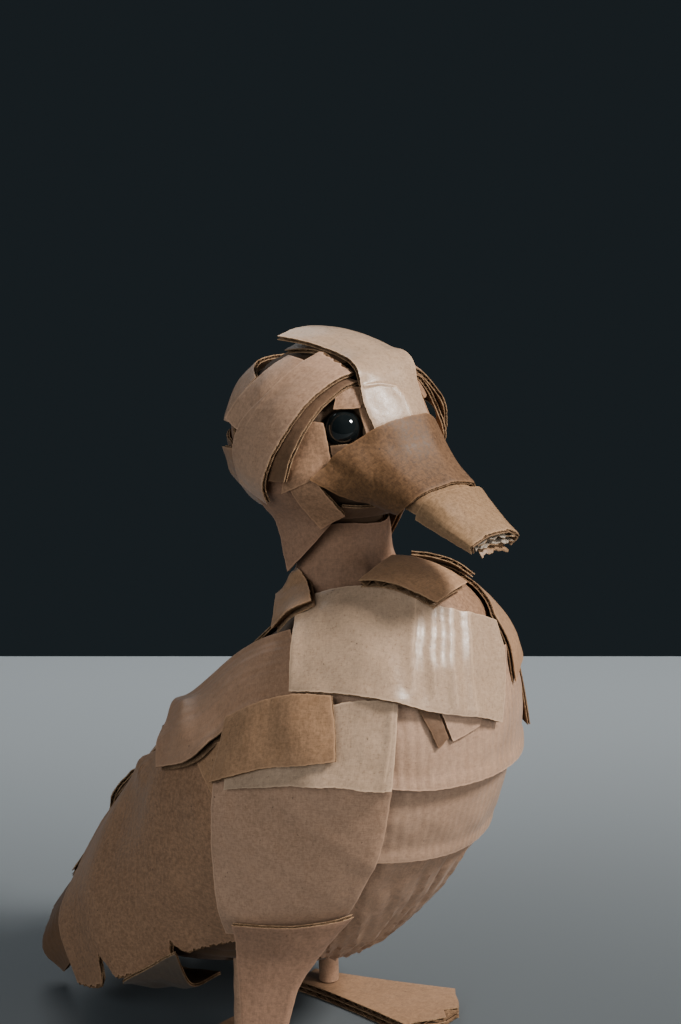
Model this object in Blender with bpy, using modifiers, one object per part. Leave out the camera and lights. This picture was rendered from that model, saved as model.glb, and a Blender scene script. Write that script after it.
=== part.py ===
# Cardboard duckling: strips of corrugated card laid over a rounded card form, with
# bead eyes, rolled card legs and flat webbed feet. It looks along -Y and stands on the
# floor at Z = 0. The strips are laid one after another, each on what is already there.
import math

import bmesh
import bpy
from mathutils import Matrix, Vector
from mathutils.bvhtree import BVHTree

for old in list(bpy.data.objects):
    bpy.data.objects.remove(old, do_unlink=True)

# Sizes in metres

HEIGHT = 0.1790
GAP = 0.00035
LINER = 0.0009
CARD = 0.0012
BOARD = 0.0022

BODY_WIDTH = 0.0750

HEAD_LENGTH = 0.0540
HEAD_WIDTH = 0.0440
HEAD_DEPTH = 0.0440
HEAD_SETBACK = 0.0024

NECK_LENGTH = 0.0135

BILL_LENGTH = 0.0440
BILL_ROOT_DEPTH_IN_HEAD = 0.0110
BILL_ROOT_DROP = 0.0024
BILL_ROOT_WIDTH = 0.0215
BILL_ROOT_THICKNESS = 0.0136
BILL_TIP_WIDTH = 0.0105
BILL_TIP_THICKNESS = 0.0020

EYE_DIAMETER = 0.0090
EYE_SUNK = 0.0030

LEG_DIAMETER = 0.0064
LEG_SPREAD = 0.0370
LEG_SETBACK = 0.0170
LEG_IN_BODY = 0.0090
FOOT_THICKNESS = 0.0030
FOOT_LENGTH = 0.0450
FOOT_WIDTH = 0.0270
FOOT_HEEL_WIDTH = 0.0100
FOOT_HEEL_BEHIND_LEG = 0.0070
FOOT_BEVEL = 0.0005

# How far above each form a laid strip may come, and the spacing of the points that test its fit
BODY_REACH = 0.0095
HEAD_REACH = 0.0095
BILL_REACH = 0.0080
FACE_REACH = 0.0150
TEST_STEP = 0.0018

# How far a lapping edge stands off, and how far the free ends reach past the form
LAP = 0.0010
FLANK_DROP = 0.0090
TAIL_DROP = 0.0140
WING_TIP_DROP = 0.0220
FOLDED_TIP_DROP = 0.0060
COLLAR_RISE = 0.0040
CHEEK_DROP = 0.0140
CROWN_TIP_REACH = 0.0050

# Proportions of the body and neck, as shares of the height of the shoulders under the neck
BODY_LENGTH_SHARE = 1.3761
BODY_DEPTH_SHARE = 0.5811
BODY_BEND_SHARE = 0.1037
BODY_SETBACK_SHARE = 0.1490
BODY_CENTRE_SHARE = 0.4329
BODY_CORE_SHARE = 0.5103
BELLY_SHARE = 0.1811
NECK_DIAMETER_SHARE = 0.1481
NECK_FORWARD_SHARE = 0.0082
NECK_FLARE_SHARE = 0.0370

# Angles in degrees and shares

BODY_TILT = 43.4
BODY_TAPER = 0.26
BILL_HOLLOW = 0.8
BILL_SIDE_ROUNDING = 0.6
BILL_TOP_ROUNDING = 0.75
BELLY_FLATTENING = 0.42
HEAD_TURN = 12.0
BILL_SLOPE = 23.5
FOOT_TOE_OUT = 3.0
FOOT_SPREADING = 1.3
WEB_REACH = 0.86
WEB_NOTCH = 0.045
TOE_TIP = 0.03
TOE_ROUNDING = 0.6
TOES = 3
FOREHEAD_SLOPE = 0.09
FOREHEAD_START = 0.5
WING_TIP_SPLAY = 0.45
EYE_BEARING = 37.0
EYE_ELEVATION = 12.0

# How a strip settles: its fits, the steps of each, and its pull to an even sheet

FIT_PASSES = 4
RELAX_STEPS = 10
STIFFNESS = 0.5
SPRING = 0.06

RIGHT = -1
LEFT = 1

# Colours of the cards

PALE = (0.58, 0.47, 0.35)
KRAFT = (0.46, 0.32, 0.21)
OCHRE = (0.60, 0.37, 0.15)
BROWN = (0.31, 0.20, 0.12)
GREY = (0.34, 0.29, 0.24)
CORE = (0.22, 0.15, 0.09)
BLACK = (0.012, 0.012, 0.014)

parts = bpy.data.collections.new("cardboard_duck")
helpers = bpy.data.collections.new("duck_cutters")
bpy.context.scene.collection.children.link(parts)
bpy.context.scene.collection.children.link(helpers)


def material(name, colour, roughness):
    made = bpy.data.materials.new(name)
    made.use_nodes = True
    shader = made.node_tree.nodes["Principled BSDF"]
    shader.inputs["Base Color"].default_value = (*colour, 1.0)
    shader.inputs["Roughness"].default_value = roughness
    shader.inputs["Metallic"].default_value = 0.0
    made.diffuse_color = (*colour, 1.0)
    return made


def add_mesh(name, verts, faces, colour=None, roughness=0.8, closed=True):
    """A mesh object: a sub-part when it has a colour, else a helper that cuts or joins."""
    mesh = bpy.data.meshes.new(name)
    mesh.from_pydata([tuple(v) for v in verts], [], faces)
    if closed:
        bm = bmesh.new()
        bm.from_mesh(mesh)
        bmesh.ops.recalc_face_normals(bm, faces=bm.faces)
        if bm.calc_volume(signed=True) < 0:
            bmesh.ops.reverse_faces(bm, faces=bm.faces)
        bm.to_mesh(mesh)
        bm.free()
    obj = bpy.data.objects.new(name, mesh)
    if colour is None:
        helpers.objects.link(obj)
        obj.hide_render = True
        obj.display_type = "WIRE"
    else:
        parts.objects.link(obj)
        mesh.materials.append(material(name + "_surface", colour, roughness))
    return obj


def ball(name, radii, segments, rings, shape, colour=None, roughness=0.8):
    """A sphere primitive of unit radius, stretched and moved by a function."""
    bm = bmesh.new()
    bmesh.ops.create_uvsphere(bm, u_segments=segments, v_segments=rings, radius=1.0)
    for vert in bm.verts:
        unit = vert.co
        vert.co = shape(Vector((unit.x * radii[0], unit.y * radii[1], unit.z * radii[2])))
    bm.verts.index_update()
    verts = [v.co.copy() for v in bm.verts]
    faces = [[v.index for v in f.verts] for f in bm.faces]
    bm.free()
    return add_mesh(name, verts, faces, colour, roughness)


def cylinder(name, radius_low, radius_high, low, high, segments, colour=None):
    bm = bmesh.new()
    middle = Matrix.Translation((low + high) / 2)
    bmesh.ops.create_cone(
        bm,
        cap_ends=True,
        segments=segments,
        radius1=radius_low,
        radius2=radius_high,
        depth=(high - low).length,
        matrix=middle,
    )
    bm.verts.index_update()
    verts = [v.co.copy() for v in bm.verts]
    faces = [[v.index for v in f.verts] for f in bm.faces]
    bm.free()
    return add_mesh(name, verts, faces, colour)


def boolean(obj, other, operation):
    step = obj.modifiers.new(operation.lower() + "_" + other.name, "BOOLEAN")
    step.operation = operation
    step.solver = "EXACT"
    step.object = other


def final_mesh(obj):
    """Corners and triangles of the finished object, in world space."""
    bpy.context.view_layer.update()
    ready = obj.evaluated_get(bpy.context.evaluated_depsgraph_get())
    mesh = ready.to_mesh()
    mesh.calc_loop_triangles()
    verts = [obj.matrix_world @ v.co for v in mesh.vertices]
    tris = [tuple(t.vertices) for t in mesh.loop_triangles]
    ready.to_mesh_clear()
    return verts, tris


# The rounded forms under the strips

shoulder_height = HEIGHT - HEAD_DEPTH - NECK_LENGTH
body_length = BODY_LENGTH_SHARE * shoulder_height
body_depth = BODY_DEPTH_SHARE * shoulder_height
body_bend = BODY_BEND_SHARE * shoulder_height
body_setback = BODY_SETBACK_SHARE * shoulder_height
belly_height = BELLY_SHARE * shoulder_height
tilt = math.radians(BODY_TILT)
along_body = Vector((0, -math.cos(tilt), math.sin(tilt)))
above_body = Vector((0, math.sin(tilt), math.cos(tilt)))
body_centre = Vector((0, body_setback, BODY_CENTRE_SHARE * shoulder_height))
body_core = Vector((0, body_setback, BODY_CORE_SHARE * shoulder_height))
head_centre = Vector((0, HEAD_SETBACK, HEIGHT - HEAD_DEPTH / 2))
neck_axis = Vector((0, -NECK_FORWARD_SHARE * shoulder_height, 0))
turn = math.radians(HEAD_TURN)
head_front = Vector((-math.sin(turn), -math.cos(turn), 0))
head_left = Vector((math.cos(turn), -math.sin(turn), 0))
up = Vector((0, 0, 1))


def body_shape(p):
    """An egg that narrows to the tail, bends up at both ends and is flat below."""
    share = p.x / (body_length / 2)
    narrow = 1 + BODY_TAPER * share
    place = body_centre + along_body * p.x + above_body * (p.z * narrow + body_bend * share**2)
    place.x = p.y * narrow
    if place.z < belly_height:
        place.z = belly_height - (belly_height - place.z) * BELLY_FLATTENING
    return place


def head_shape(p):
    """An egg whose top slopes down towards the forehead."""
    ahead = max(0, p.x / (HEAD_LENGTH / 2) + FOREHEAD_START)
    lift = p.z * (1 - FOREHEAD_SLOPE * ahead**2) if p.z > 0 else p.z
    return head_centre + head_front * p.x + head_left * p.y + up * lift


def turned_ball(name, half, segments, rings, shape, colour=None, roughness=0.8):
    """A ball whose poles are at the ends of its length."""

    def swapped(p):
        return shape(Vector((p.z, p.y, p.x)))

    return ball(name, (half[2], half[1], half[0]), segments, rings, swapped, colour, roughness)


body_half = (body_length / 2, BODY_WIDTH / 2, body_depth / 2)
head_half = (HEAD_LENGTH / 2, HEAD_WIDTH / 2, HEAD_DEPTH / 2)
head_clear = tuple(r + GAP for r in head_half)

form = turned_ball("card_form", body_half, 24, 16, body_shape, CORE)
body_guide = turned_ball("body_guide", body_half, 64, 40, body_shape)
body_skin = BVHTree.FromPolygons(*final_mesh(body_guide))
head_solid = turned_ball("head_solid", head_half, 20, 12, head_shape)
head_room = turned_ball("head_room", head_clear, 20, 12, head_shape)
head_guide = turned_ball("head_guide", head_half, 48, 32, head_shape)
head_skin = BVHTree.FromPolygons(*final_mesh(head_guide))
neck_low = neck_axis + up * body_core.z
neck_high = neck_axis + up * head_centre.z
neck_radius = NECK_DIAMETER_SHARE * shoulder_height / 2
neck_root_radius = neck_radius + NECK_FLARE_SHARE * shoulder_height
neck_solid = cylinder("neck_solid", neck_root_radius, neck_radius, neck_low, neck_high, 16)
neck_skin = BVHTree.FromPolygons(*final_mesh(neck_solid))
boolean(form, neck_solid, "UNION")
boolean(form, head_solid, "UNION")

# Charts: places on a form, by angles round its centre or by angle and distance on an axis


class Chart:
    """Places on a smooth skin, with heights measured straight out from it."""

    def __init__(self, skin, reach):
        self.skin = skin
        self.reach = reach

    def above(self, point):
        """The skin's nearest place, the way out through the point, its height, and how
        deep inside the skin a search for a sheet may start."""
        spot, normal, _, _ = self.skin.find_nearest(point)
        out = point - spot
        height = out.length
        if out.dot(normal) < 0 or height < GAP / 10:
            return spot, normal, -height, self.reach
        return spot, out.normalized(), height, self.reach

    def surface(self, start, out, far):
        hit = self.skin.ray_cast(start + out * far, -out, far)
        return hit[0], hit[1]


class Round(Chart):
    """Directions from a centre: bearing from the front to one side, and elevation."""

    def __init__(self, centre, front, left, skin, reach):
        super().__init__(skin, reach)
        self.centre = centre
        self.front = front
        self.left = left

    def pack(self, bearing, elevation, side):
        b = math.radians(bearing)
        e = math.radians(elevation)
        flat = self.front * math.cos(b) + self.left * (side * math.sin(b))
        return flat * math.cos(e) + up * math.sin(e)

    def open(self, packed):
        return self.surface(self.centre, packed.normalized(), body_length)


class Axis(Chart):
    """Angles round an axis, from its top or front to one side, and shares of its length."""

    def __init__(self, start, along, length, front, left, skin, reach):
        super().__init__(skin, reach)
        self.start = start
        self.along = along
        self.length = length
        self.front = front
        self.left = left

    def pack(self, bearing, distance, side):
        return Vector((math.radians(bearing) * side, distance * self.length, 0))

    def open(self, packed):
        out = self.front * math.cos(packed.x) + self.left * math.sin(packed.x)
        spot, _ = self.surface(self.start + self.along * packed.y, out, BILL_LENGTH)
        return spot, out

    def above(self, point):
        foot = self.start + self.along * (point - self.start).dot(self.along)
        out = (point - foot).normalized()
        spot, _ = self.surface(foot, out, BILL_LENGTH)
        if spot is None:
            return foot, out, (point - foot).length, 0
        return spot, out, (point - spot).dot(out), (spot - foot).length


# The bill: a rounded wedge that starts at the face and slopes down

slope = math.radians(BILL_SLOPE)
bill_along = head_front * math.cos(slope) - up * math.sin(slope)
bill_over = head_front * math.sin(slope) + up * math.cos(slope)
bill_root = HEAD_LENGTH / 2 - BILL_ROOT_DEPTH_IN_HEAD
bill_start = head_centre + head_front * bill_root - up * BILL_ROOT_DROP


def squared(value, rounding):
    """A sine or cosine pushed outwards, so that its circle becomes a rounded square."""
    return math.copysign(abs(value) ** rounding, value)


def bill_mesh():
    """Rings with rounded corners from the root to the blunt tip."""
    around = 12
    rings = 5
    verts = []
    for i in range(rings):
        share = i / (rings - 1)
        width = BILL_ROOT_WIDTH + (BILL_TIP_WIDTH - BILL_ROOT_WIDTH) * share
        thinning = share**BILL_HOLLOW
        thick = BILL_ROOT_THICKNESS + (BILL_TIP_THICKNESS - BILL_ROOT_THICKNESS) * thinning
        for j in range(around):
            angle = math.tau * j / around
            across = squared(math.cos(angle), BILL_SIDE_ROUNDING) * width / 2
            lift = squared(math.sin(angle), BILL_TOP_ROUNDING) * thick / 2
            spot = bill_start + bill_along * (BILL_LENGTH * share)
            verts.append(spot + head_left * across + bill_over * lift)
    faces = [tuple(range(around)), tuple(range(rings * around - 1, (rings - 1) * around - 1, -1))]
    for i in range(rings - 1):
        for j in range(around):
            a = i * around + j
            b = i * around + (j + 1) % around
            faces.append((b, a, a + around, b + around))
    return verts, faces


bill = add_mesh("bill_core", *bill_mesh(), KRAFT)
bill_skin = BVHTree.FromPolygons(*final_mesh(bill))
boolean(bill, head_room, "DIFFERENCE")

front = Vector((0, -1, 0))
left = Vector((1, 0, 0))
body = Round(body_core, front, left, body_skin, BODY_REACH)
head = Round(head_centre, head_front, head_left, head_skin, HEAD_REACH)
neck_base = neck_axis + up * shoulder_height
neck = Axis(neck_base, up, NECK_LENGTH, front, left, neck_skin, BODY_REACH)
bill_line = (bill_start, bill_along, BILL_LENGTH, bill_over, head_left, bill_skin)
on_bill = Axis(*bill_line, BILL_REACH)
on_face = Axis(*bill_line, FACE_REACH)

# Eyes, each in a round socket

laid_verts = []
laid_tris = []


def keep_in_pile(obj):
    """Adds a finished object to what later strips lie on."""
    verts, tris = final_mesh(obj)
    first = len(laid_verts)
    laid_verts.extend(verts)
    laid_tris.extend(tuple(first + k for k in t) for t in tris)


def add_eye(side, label):
    spot, out = head.open(head.pack(EYE_BEARING, EYE_ELEVATION, side))
    centre = spot - out * EYE_SUNK
    radius = EYE_DIAMETER / 2

    def place(p):
        return centre + p

    room = ball("eye_room_" + label, (radius + GAP,) * 3, 12, 8, place)
    boolean(form, room, "DIFFERENCE")
    return ball("eye_" + label, (radius,) * 3, 12, 8, place, BLACK, 0.08)


eyes = [add_eye(RIGHT, "right"), add_eye(LEFT, "left")]

# Legs in sockets of the form, and flat webbed feet


def foot_outline():
    """Half-width of the foot at shares of its length, from the heel to three toes."""
    steps = 9
    right_side = []
    for i in range(steps):
        share = i / (steps - 1)
        spread = share**FOOT_SPREADING
        half = (FOOT_HEEL_WIDTH + (FOOT_WIDTH - FOOT_HEEL_WIDTH) * spread) / 2
        right_side.append((half, share * WEB_REACH))
    toes = []
    places = 8
    for i in range(1, places):
        share = i / places
        round_front = (1 - WEB_REACH) * math.sin(math.pi * share) ** TOE_ROUNDING
        toe_wave = math.cos(TOES * math.pi * share) ** 2
        reach = WEB_REACH + round_front - WEB_NOTCH * (1 - toe_wave) + TOE_TIP * toe_wave
        toes.append((FOOT_WIDTH / 2 * (1 - 2 * share), reach))
    left_side = [(-half, share) for half, share in reversed(right_side)]
    return right_side + toes + left_side


def add_leg(side, label):
    ankle = Vector((side * LEG_SPREAD / 2, LEG_SETBACK, 0))
    low = ankle + up * (FOOT_THICKNESS + GAP)
    hit = body_skin.ray_cast(ankle, up)
    high = Vector((ankle.x, ankle.y, hit[0].z + LEG_IN_BODY))
    leg = cylinder("leg_" + label, LEG_DIAMETER / 2, LEG_DIAMETER / 2, low, high, 12, BROWN)
    room_radius = LEG_DIAMETER / 2 + GAP
    room = cylinder("leg_room_" + label, room_radius, room_radius, low, high + up * GAP, 12)
    boolean(form, room, "DIFFERENCE")
    turn_out = Matrix.Rotation(math.radians(FOOT_TOE_OUT) * side, 4, "Z")
    outline = []
    for half, share in foot_outline():
        spot = turn_out @ Vector((half, FOOT_HEEL_BEHIND_LEG - share * FOOT_LENGTH, 0))
        outline.append(ankle + spot)
    count = len(outline)
    verts = outline + [p + up * FOOT_THICKNESS for p in outline]
    faces = [tuple(range(count)), tuple(range(2 * count - 1, count - 1, -1))]
    faces += [((i + 1) % count, i, i + count, (i + 1) % count + count) for i in range(count)]
    foot = add_mesh("foot_" + label, verts, faces, OCHRE)
    edge = foot.modifiers.new("soft_edge", "BEVEL")
    edge.width = FOOT_BEVEL
    edge.segments = 1
    edge.limit_method = "ANGLE"
    edge.angle_limit = math.radians(60)
    return leg


legs = [add_leg(RIGHT, "right"), add_leg(LEFT, "left")]
keep_in_pile(form)
keep_in_pile(bill)
for eye in eyes:
    keep_in_pile(eye)

# Laying strips


def through(points, count):
    """Evenly spaced places on a smooth line through the given places."""
    ends = [points[0] * 2 - points[1], *points, points[-1] * 2 - points[-2]]
    spans = len(points) - 1
    line = []
    for k in range(count + 1):
        at = spans * k / count
        i = min(int(at), spans - 1)
        t = at - i
        a, b, c, d = ends[i : i + 4]
        bend = (c - a) * 0.5 * t
        bend += (a - b * 2.5 + c * 2 - d * 0.5) * t**2
        bend += (-a * 0.5 + b * 1.5 - c * 1.5 + d * 0.5) * t**3
        line.append(b + bend)
    return line


def strip_cells(along, across):
    tris = []
    for i in range(along):
        for j in range(across):
            a = i * (across + 1) + j
            b = a + 1
            c = a + across + 1
            d = c + 1
            if (i + j) % 2:
                tris += [(a, b, c), (b, d, c)]
            else:
                tris += [(a, b, d), (a, d, c)]
    return tris


def shares_of(a, b, c):
    """Barycentric shares of test points spread over a triangle, with a few on its sides."""
    longest = max((a - b).length, (b - c).length, (c - a).length)
    count = max(2, math.ceil(longest / TEST_STEP))
    shares = []
    for i in range(count + 1):
        for j in range(count + 1 - i):
            shares.append((i / count, j / count, (count - i - j) / count))
    return shares


def fit_limits(chart, grid, tris, pile, near):
    """At points all over the sheet: (corners, shares, height still missing there)."""
    found = []
    for tri in tris:
        a, b, c = (grid[k] for k in tri)
        for s in shares_of(a, b, c):
            spot, out, height, _ = chart.above(a * s[0] + b * s[1] + c * s[2])
            hit = pile.ray_cast(spot + out * chart.reach, -out, chart.reach * 2)
            if hit[0] is not None:
                found.append((tri, s, (hit[0] - spot).dot(out) + GAP - height))
    sheet = BVHTree.FromPolygons(grid, tris)
    for point in near:
        spot, out, height, depth = chart.above(point)
        if height > chart.reach:
            continue
        hit = sheet.ray_cast(spot - out * depth, out, depth + chart.reach * 2)
        if hit[0] is not None:
            tri = tris[hit[2]]
            shares = barycentric(hit[0], *(grid[k] for k in tri))
            found.append((tri, shares, height + GAP - (hit[0] - spot).dot(out)))
    return [f for f in found if f[2] > -chart.reach / 4]


def settle(rest, sides, limits):
    """Raises of the corners: an even sheet drawn to its rest, held up by the limits."""
    raised = [0.0] * len(rest)
    for step in range(RELAX_STEPS):
        if step < RELAX_STEPS - 2:
            level = [r - want for r, want in zip(raised, rest)]
            for k, around in enumerate(sides):
                even = sum(level[n] for n in around) / len(around)
                raised[k] += STIFFNESS * (even - level[k]) - SPRING * level[k]
        for tri, s, missing in limits:
            short = missing - sum(raised[k] * w for k, w in zip(tri, s))
            if short > 0:
                weight = sum(w * w for w in s)
                for k, w in zip(tri, s):
                    raised[k] += short * w / weight
    return raised


def barycentric(p, a, b, c):
    normal = (b - a).cross(c - a)
    area = normal.length_squared
    first = (b - p).cross(c - p).dot(normal) / area
    second = (c - p).cross(a - p).dot(normal) / area
    return first, second, 1 - first - second


def lay(name, chart, side, edge_a, edge_b, card, colour, along=6, across=2, pull=None):
    """One strip between two edges, each a list of (bearing, elevation or share along an
    axis, lift off its rest, distance it is pulled past the form)."""
    lines = []
    for edge in (edge_a, edge_b):
        full = [tuple(e) + (0,) * (4 - len(e)) for e in edge]
        spots = through([chart.pack(e[0], e[1], side) for e in full], along)
        extras = through([Vector((e[2], e[3], 0)) for e in full], along)
        lines.append((spots, extras))
    pull = pull or up
    grid = []
    rays = []
    wanted = []
    pile = BVHTree.FromPolygons(laid_verts, laid_tris)
    for i in range(along + 1):
        for j in range(across + 1):
            share = j / across
            place, out = chart.open(lines[0][0][i].lerp(lines[1][0][i], share))
            extra = lines[0][1][i].lerp(lines[1][1][i], share)
            wanted.append(GAP + max(0, extra.x))
            grid.append(place + pull * extra.y + out * wanted[-1])
            rays.append(out)
    tris = strip_cells(along, across)
    sides = [set() for _ in grid]
    for i in range(along + 1):
        for j in range(across + 1):
            k = i * (across + 1) + j
            if j < across:
                sides[k].add(k + 1)
                sides[k + 1].add(k)
            if i < along:
                sides[k].add(k + across + 1)
                sides[k + across + 1].add(k)
    middle = sum(grid, Vector()) / len(grid)
    size = max((p - middle).length for p in grid)
    near = [p for p in laid_verts if (p - middle).length < size]
    total = [0.0] * len(grid)
    for _ in range(FIT_PASSES):
        limits = fit_limits(chart, grid, tris, pile, near)
        raised = settle([-t for t in total], sides, limits)
        total = [t + r for t, r in zip(total, raised)]
        grid = [p + out * high for p, out, high in zip(grid, rays, raised)]
    a, b, c = (grid[k] for k in tris[0])
    if (b - a).cross(c - a).dot(rays[tris[0][0]]) < 0:
        tris = [(t[0], t[2], t[1]) for t in tris]
    strip = add_mesh(name, grid, tris, colour, closed=False)
    thick = strip.modifiers.new("card", "SOLIDIFY")
    thick.thickness = card
    thick.offset = 1.0
    keep_in_pile(strip)
    return strip


def both(name, chart, edge_a, edge_b, card, colour, along=6, across=2, pull=None):
    lay(name + "_left", chart, LEFT, edge_a, edge_b, card, colour, along, across, pull)
    lay(name + "_right", chart, RIGHT, edge_a, edge_b, card, colour, along, across, pull)


def mirrored(edge):
    """An edge over the front or back middle line, given from there outwards on the right."""
    middle = edge[0][0]
    return [*reversed(edge), *[(2 * middle - e[0], *e[1:]) for e in edge[1:]]]


def over(name, chart, edge_a, edge_b, card, colour, along=8, across=2):
    lay(name, chart, RIGHT, mirrored(edge_a), mirrored(edge_b), card, colour, along, across)


def down_middle(name, chart, edge, card, colour, along=8, across=2, pull=None):
    """A strip along the middle line, given by its right edge."""
    lay(name, chart, RIGHT, edge, [(-e[0], *e[1:]) for e in edge], card, colour, along, across, pull)


# Body strips, from the lowest layer up

BACK_AND_DOWN = Vector((0, 0.6, -0.8))

down_middle("belly_strip", body, [(24, -42), (60, -74), (140, -76), (166, -56)], LINER, GREY, 7, 2)
both(
    "tail_side", body,
    [(142, -10), (158, -22, 0, TAIL_DROP * 0.15), (168, -30, LAP, TAIL_DROP * 0.85)],
    [
        (136, -38, 0, TAIL_DROP * 0.3),
        (150, -40, LAP, TAIL_DROP * 0.6),
        (164, -40, LAP * 2, TAIL_DROP),
    ],
    CARD, KRAFT, 5, 2, BACK_AND_DOWN,
)
both(
    "flank", body,
    [(70, 26), (115, 30), (146, 12), (162, -18)],
    [
        (62, -38),
        (92, -43, LAP, FLANK_DROP * 0.2),
        (128, -44, LAP * 2, FLANK_DROP * 0.9),
        (156, -40, LAP * 2, FLANK_DROP),
    ],
    CARD, PALE, 8, 3, -up,
)
both(
    "belly_side", body,
    [(98, -41, LAP), (136, -47, LAP)],
    [(146, -70), (166, -58)],
    LINER, GREY, 4, 2,
)
down_middle("back_strip", body, [(66, 77), (128, 60), (156, 32), (166, 4)], LINER, GREY, 8, 3)
down_middle(
    "tail_top", body,
    [(146, 22), (160, -4), (168, -26, LAP, TAIL_DROP * 0.6)],
    CARD, PALE, 6, 3, BACK_AND_DOWN,
)
over(
    "chest_band_low", body,
    [(0, -3), (16, -3), (40, -1)],
    [(0, -56), (18, -56), (36, -50)],
    LINER, BROWN, 8, 3,
)
over(
    "chest_band_middle", body,
    [(0, 20), (20, 20), (46, 24)],
    [(0, -3, LAP), (18, -2, LAP), (42, 0)],
    CARD, KRAFT, 8, 2,
)
over(
    "chest_band_top", body,
    [(0, 38), (20, 38), (42, 40)],
    [(0, 16, LAP), (20, 17, LAP), (40, 21)],
    CARD, KRAFT, 8, 2,
)
both(
    "wing", body,
    [(30, 20), (31, 0), (36, -26)],
    [(76, 24), (78, -4), (78, -34)],
    CARD, KRAFT, 6, 4,
)
for side, label, drop in ((LEFT, "left", FOLDED_TIP_DROP), (RIGHT, "right", WING_TIP_DROP)):
    stand = drop * WING_TIP_SPLAY
    lay(
        "wing_tip_" + label, body, side,
        [(36, -20), (50, -34, stand / 2, drop * 0.27), (60, -40, stand, drop)],
        [(76, -26), (76, -36, stand / 2, drop * 0.27), (72, -40, stand, drop)],
        CARD, KRAFT, 5, 2, -up,
    )
both(
    "scapular", body,
    [(46, 57), (84, 64), (126, 56), (146, 40)],
    [(45, 38), (66, 39), (82, 26), (108, 18)],
    BOARD, KRAFT, 8, 3,
)
both(
    "wing_fold", body,
    [(25, 35), (42, 36), (66, 28)],
    [(28, 19, LAP), (46, 21), (68, 19)],
    LINER, PALE, 7, 2,
)
both(
    "wing_cover", body,
    [(38, 38), (53, 41), (70, 39)],
    [(38, 26), (54, 25), (72, 20)],
    CARD, OCHRE, 4, 2,
)
lay(
    "yoke_left", body, LEFT,
    [(40, 66), (22, 57), (14, 47), (8, 43)],
    [(48, 43), (34, 40), (20, 35), (8, 31)],
    CARD, OCHRE, 7, 3,
)
lay(
    "yoke_right", body, RIGHT,
    [(40, 66), (21, 57), (9, 47), (-6, 42)],
    [(48, 41), (34, 37), (18, 31), (1, 26)],
    CARD, PALE, 8, 3,
)

# Neck: a card band in front, one behind, and board collars on the shoulders

over(
    "neck_back", neck,
    [(180, 0.25), (150, 0.25), (114, 0.25)],
    [(180, 0.8), (150, 0.8), (116, 0.7)],
    LINER, BROWN, 6, 1,
)
over(
    "neck_front", neck,
    [(0, 0.34), (60, 0.26), (122, 0.28)],
    [(0, 0.8), (66, 0.85), (112, 0.6)],
    CARD, KRAFT, 10, 1,
)
lay(
    "collar_left", body, LEFT,
    [(14, 61, LAP), (17, 50, LAP)],
    [(38, 60, LAP), (30, 52, LAP)],
    CARD, OCHRE, 3, 2,
)
both(
    "collar_side", body,
    [(30, 70, 0, COLLAR_RISE * 0.75), (36, 59)],
    [(50, 76, 0, COLLAR_RISE), (52, 59)],
    BOARD, OCHRE, 3, 2, up,
)
lay(
    "collar_front", body, RIGHT,
    [(23, 57, LAP), (12, 47, LAP * 2)],
    [(6, 60, LAP), (-3, 49, LAP)],
    BOARD, OCHRE, 4, 2,
)

# Head, from the back and the cheeks forward to the brows, the crown and the bill

CROWN_TIP_WAY = Vector((-0.55, 0.83, 0.05))

over(
    "nape", head,
    [(180, -2), (150, -3), (126, -5)],
    [(180, -46), (150, -46), (128, -42)],
    LINER, BROWN, 6, 2,
)
over(
    "back_of_head", head,
    [(180, 40), (150, 40), (116, 36)],
    [(180, 2, LAP), (150, 3, LAP), (124, 6, LAP)],
    CARD, KRAFT, 8, 2,
)
both(
    "crown_side", head,
    [(64, 54), (82, 24), (100, 0)],
    [(102, 58), (112, 38), (124, 8)],
    CARD, KRAFT, 5, 2,
)
over("throat", head, [(0, -34), (36, -36)], [(0, -46), (46, -49)], LINER, BROWN, 6, 1)
both("nape_side", head, [(98, -4), (90, -30), (98, -48)], [(138, -8), (126, -44)], CARD, PALE, 5, 2)
both(
    "cheek", head,
    [(64, -12), (50, -32), (40, -46)],
    [(98, -20), (97, -44, 0, CHEEK_DROP * 0.2), (88, -52, LAP, CHEEK_DROP)],
    CARD, KRAFT, 6, 2, -up,
)
both("jaw", head, [(52, -12), (33, -38)], [(67, -12), (62, -32), (50, -47)], CARD, BROWN, 4, 2)
both(
    "eye_rim", head,
    [(50, 16), (50, 3), (38, -2), (24, 0)],
    [(57, 12), (58, -6), (40, -11), (20, -8)],
    LINER, BROWN, 6, 1,
)
both(
    "under_brow", head,
    [(24, 35, LAP), (43, 25, LAP), (55, 9, LAP), (63, -15, LAP)],
    [(34, 44), (57, 30), (68, 10), (78, -18)],
    CARD, OCHRE, 7, 1,
)
lay(
    "brow_left", head, LEFT,
    [(26, 41), (42, 30), (53, 12, LAP * 1.5), (68, -8, LAP * 1.5), (84, -32, LAP)],
    [(54, 62), (82, 34), (102, 12), (110, -6), (104, -28)],
    CARD, KRAFT, 8, 2,
)
lay(
    "brow_right", head, RIGHT,
    [(26, 40, LAP), (46, 30, LAP * 2), (61, 13, LAP * 2), (71, -6, LAP * 2), (81, -30, LAP)],
    [(54, 62), (82, 34), (102, 12), (110, -6), (104, -22)],
    CARD, KRAFT, 8, 2,
)
down_middle("under_crown", head, [(36, 52), (56, 64), (116, 58)], CARD, BROWN, 6, 2)
lay(
    "crown", head, RIGHT,
    [(20, 6), (25, 22), (27, 38), (40, 58), (98, 66, LAP * 2, CROWN_TIP_REACH)],
    [(-14, 6), (-18, 22), (-26, 38), (-44, 58), (-130, 62)],
    CARD, PALE, 10, 3, CROWN_TIP_WAY,
)
over(
    "bill_wrap", on_bill,
    [(0, 0.36), (50, 0.36), (104, 0.38)],
    [(0, 0.74), (50, 0.74), (104, 0.72)],
    LINER, KRAFT, 12, 1,
)
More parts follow.
